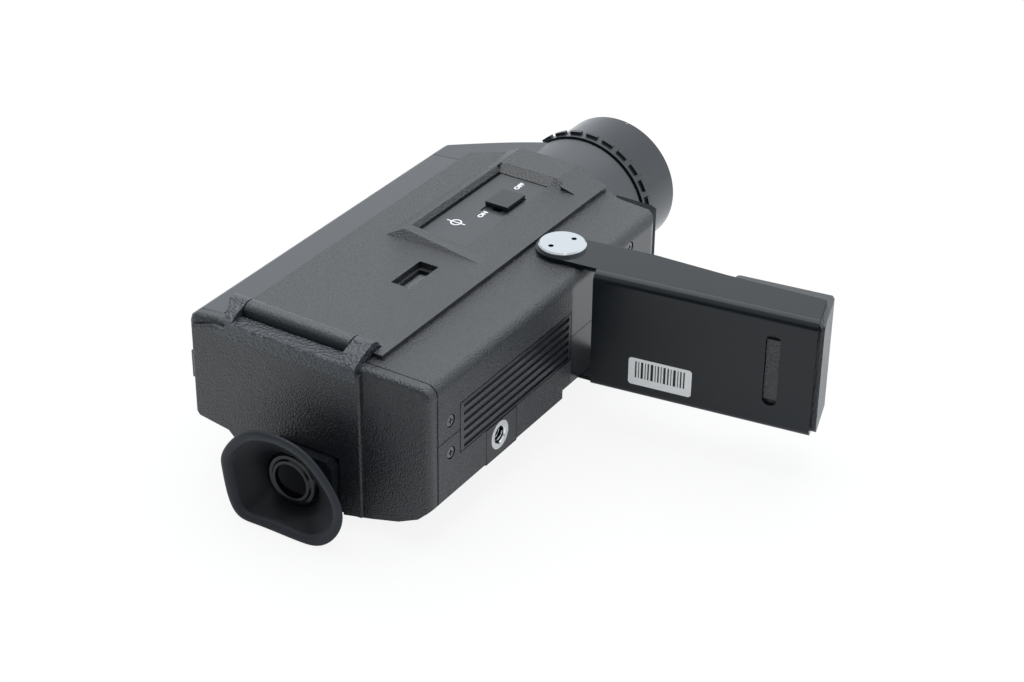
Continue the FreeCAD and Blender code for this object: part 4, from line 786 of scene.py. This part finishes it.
PIVOT = (94.9, 13.2)
GRIP_TILT = math.radians(8.2)
SPANNER_HOLE = (4.2, 2.0)
SPANNER_RADIUS = 0.00093
CHROME = (0.62, 0.64, 0.655)
WEB_OUTSIDE = -12.8
LABEL_START = 30.2
LABEL_END = 52.6
LABEL_LOW = -15.0
LABEL_HIGH = -4.8
LABEL_THICK = 0.10
LABEL_CORNER = 1.1
PAPER_DARK = (0.80, 0.80, 0.79)
PAPER_PALE = (0.86, 0.86, 0.85)
BARS_START = 32.6
BARS_END = 50.2
BARS_LOW = -12.2
BARS_HIGH = -5.9
INK_THICK = 0.02
INK_CORNER = 0.05
BAR_WIDTHS = (0.5, 0.3, 0.8, 0.3, 0.5, 0.9, 0.3, 0.5, 0.3, 0.8, 0.5, 0.3, 0.9, 0.3, 0.5, 0.5)

enamel = plain_plastic("enamel", ENAMEL, ENAMEL_PALE, 0.20, gloss=0.37)
core_grain = grained_plastic("core_grain", SHELL_DARK, SHELL_PALE, 0.36, depth=0.00020)
polished_chrome = drawn_metal("polished_chrome", CHROME, 0.16, (1.0, 1.0, 1.0), wear=0.05)
spanner_holes = []
for side in (1, -1):
    hole = on_camera(PIVOT[0] + side * SPANNER_HOLE[0], PIVOT[1] - side * SPANNER_HOLE[1], 0)
    spanner_holes.append(((0, 1), (hole.x, hole.y), SPANNER_RADIUS))
# The spanner holes are painted black, painted shade inside them.
paint_shade_in_holes(polished_chrome, spanner_holes)
finish_nodes(["grip_bracket"], enamel)
finish_nodes(["grip_core"], core_grain)
finish_nodes(["pivot_screw_right", "pivot_screw_left"], polished_chrome)


def on_grip(across, along, right):
    """A place in millimetres across the grip's plates, down its length and right of the middle."""
    forward = PIVOT[0] + across * math.cos(GRIP_TILT) + along * math.sin(GRIP_TILT)
    high = PIVOT[1] + across * math.sin(GRIP_TILT) - along * math.cos(GRIP_TILT)
    return on_camera(forward, high, right)


def flat_on_web(start, end, low, high, lift, thick, corner):
    """A thin upright slip with rounded corners on the outside of the grip's web."""
    bpy.ops.object.select_all(action="DESELECT")
    bpy.ops.mesh.primitive_cube_add(size=1, location=on_grip(
        WEB_OUTSIDE - lift - thick / 2, (start + end) / 2, (low + high) / 2))
    slip = bpy.context.object
    slip.scale = Vector((thick, end - start, high - low)) / 1000
    bpy.ops.object.transform_apply(location=False, rotation=False, scale=True)
    spots = [vertex.co.x for vertex in slip.data.vertices]
    open_with(slip, "EDGE", [
        edge.index for edge in slip.data.edges
        if abs(spots[edge.vertices[0]] - spots[edge.vertices[1]]) > thick / 2000])
    bpy.ops.mesh.bevel(offset=corner / 1000, segments=5)
    bpy.ops.object.mode_set(mode="OBJECT")
    slip.rotation_euler = (0, 0, GRIP_TILT)
    return slip


paper = plain_plastic("paper", PAPER_DARK, PAPER_PALE, 0.50)
label = flat_on_web(LABEL_START, LABEL_END, LABEL_LOW, LABEL_HIGH, 0, LABEL_THICK, LABEL_CORNER)
fit_piece(label, "grip_label", paper, "grip")
gap = (BARS_END - BARS_START - sum(BAR_WIDTHS)) / (len(BAR_WIDTHS) - 1)
bars = []
start = BARS_START
for wide in BAR_WIDTHS:
    bars.append(flat_on_web(
        start, start + wide, BARS_LOW, BARS_HIGH, LABEL_THICK, INK_THICK, INK_CORNER))
    start += wide + gap
pick_only(bars[0])
for bar in bars:
    bar.select_set(True)
bpy.ops.object.join()
fit_piece(bars[0], "grip_label_bars", print_and_shadow_black, "grip")

# Studio
# White table and surroundings that dim low behind the camera, one wide soft lamp overhead,
# and the camera behind the grip side.

ROOM_WHITE = (0.90, 0.955, 1.0)
ROOM_DARK = (0.16, 0.17, 0.18)
ROOM_STRENGTH = 0.86
SWEEP_STRENGTH = 1.25
BEHIND = (-0.15, -0.55)
LOW = (0.62, 0.30)
AHEAD = (0.1, 0.6)
TABLE_SIZE = 6
TABLE_WHITE = (0.85, 0.85, 0.85)
TABLE_SHADE = (0.15, 0.15, 0.15)
TABLE_AWAY = (-0.18, -0.45)
TABLE_GLOW = 0.88
LAMP_PLACE = (0.3, 0.2, 1.2)
LAMP_SIZE = 1.4
LAMP_POWER = 12
CAMERA_PLACE = Vector((-0.57143, -0.33696, 0.43115))
CAMERA_AZIMUTH = math.radians(-58.04)
CAMERA_ELEVATION = math.radians(30.99)
CAMERA_ROLL = math.radians(0.72)
CAMERA_LENS = 80.68
CAMERA_FILM = 36


def fade(tree, value, span, ends=(0.0, 1.0)):
    """Goes smoothly from the first end to the second as the value crosses the span."""
    ramp = add_node(tree, "ShaderNodeMapRange", interpolation_type="SMOOTHSTEP",
                    From_Min=span[0], From_Max=span[1], To_Min=ends[0], To_Max=ends[1])
    tree.links.new(value, ramp.inputs["Value"])
    return ramp.outputs["Result"]


world = bpy.context.scene.world or bpy.data.worlds.new("surroundings")
bpy.context.scene.world = world
world.use_nodes = True
tree = world.node_tree
heading = add_node(tree, "ShaderNodeSeparateXYZ")
tree.links.new(add_node(tree, "ShaderNodeTexCoord").outputs["Generated"], heading.inputs[0])
behind = fade(tree, heading.outputs[0], BEHIND)
low = fade(tree, heading.outputs[2], LOW)
seen = add_node(tree, "ShaderNodeLightPath").outputs["Is Camera Ray"]
unseen = reckon(tree, "SUBTRACT", 1.0, seen)
dim = reckon(tree, "MULTIPLY", reckon(tree, "MULTIPLY", behind, low), unseen)
room = tree.nodes["Background"]
tree.links.new(blend_colours(tree, dim, ROOM_WHITE, ROOM_DARK), room.inputs["Color"])
tree.links.new(fade(tree, heading.outputs[0], AHEAD, (ROOM_STRENGTH, SWEEP_STRENGTH)),
               room.inputs["Strength"])

bpy.ops.object.select_all(action="DESELECT")
bpy.ops.mesh.primitive_plane_add(size=TABLE_SIZE, location=(0, 0, 0))
table = bpy.context.object
table.name = "table"
table_white, tree, shader = new_material("table_white")
away = fade(tree, coordinates(tree)[1][0], TABLE_AWAY)
tree.links.new(blend_colours(tree, away, TABLE_WHITE, TABLE_SHADE), shader.inputs["Base Color"])
shader.inputs["Roughness"].default_value = 0.6
glow = add_node(tree, "ShaderNodeEmission", Strength=1.0)
path = add_node(tree, "ShaderNodeLightPath")
share = reckon(tree, "MULTIPLY", path.outputs["Is Camera Ray"], TABLE_GLOW)
mix = add_node(tree, "ShaderNodeMixShader")
tree.links.new(share, mix.inputs[0])
tree.links.new(shader.outputs[0], mix.inputs[1])
tree.links.new(glow.outputs[0], mix.inputs[2])
tree.links.new(mix.outputs[0], tree.nodes["Material Output"].inputs["Surface"])
table.data.materials.append(table_white)

lamp = bpy.data.lights.new("softbox", "AREA")
lamp.shape = "SQUARE"
lamp.size = LAMP_SIZE
lamp.energy = LAMP_POWER
softbox = bpy.data.objects.new("softbox", lamp)
softbox.location = LAMP_PLACE
bpy.context.scene.collection.objects.link(softbox)

lens = bpy.data.cameras.new("camera")
lens.sensor_width = CAMERA_FILM
lens.lens = CAMERA_LENS
camera = bpy.data.objects.new("camera", lens)
turn = Matrix.Rotation(CAMERA_AZIMUTH, 4, "Z")
tip = Matrix.Rotation(math.pi / 2 - CAMERA_ELEVATION, 4, "X")
roll = Matrix.Rotation(CAMERA_ROLL, 4, "Z")
camera.matrix_world = Matrix.Translation(CAMERA_PLACE) @ turn @ tip @ roll
bpy.context.scene.collection.objects.link(camera)
bpy.context.scene.camera = camera
bpy.context.scene.view_settings.view_transform = "Standard"
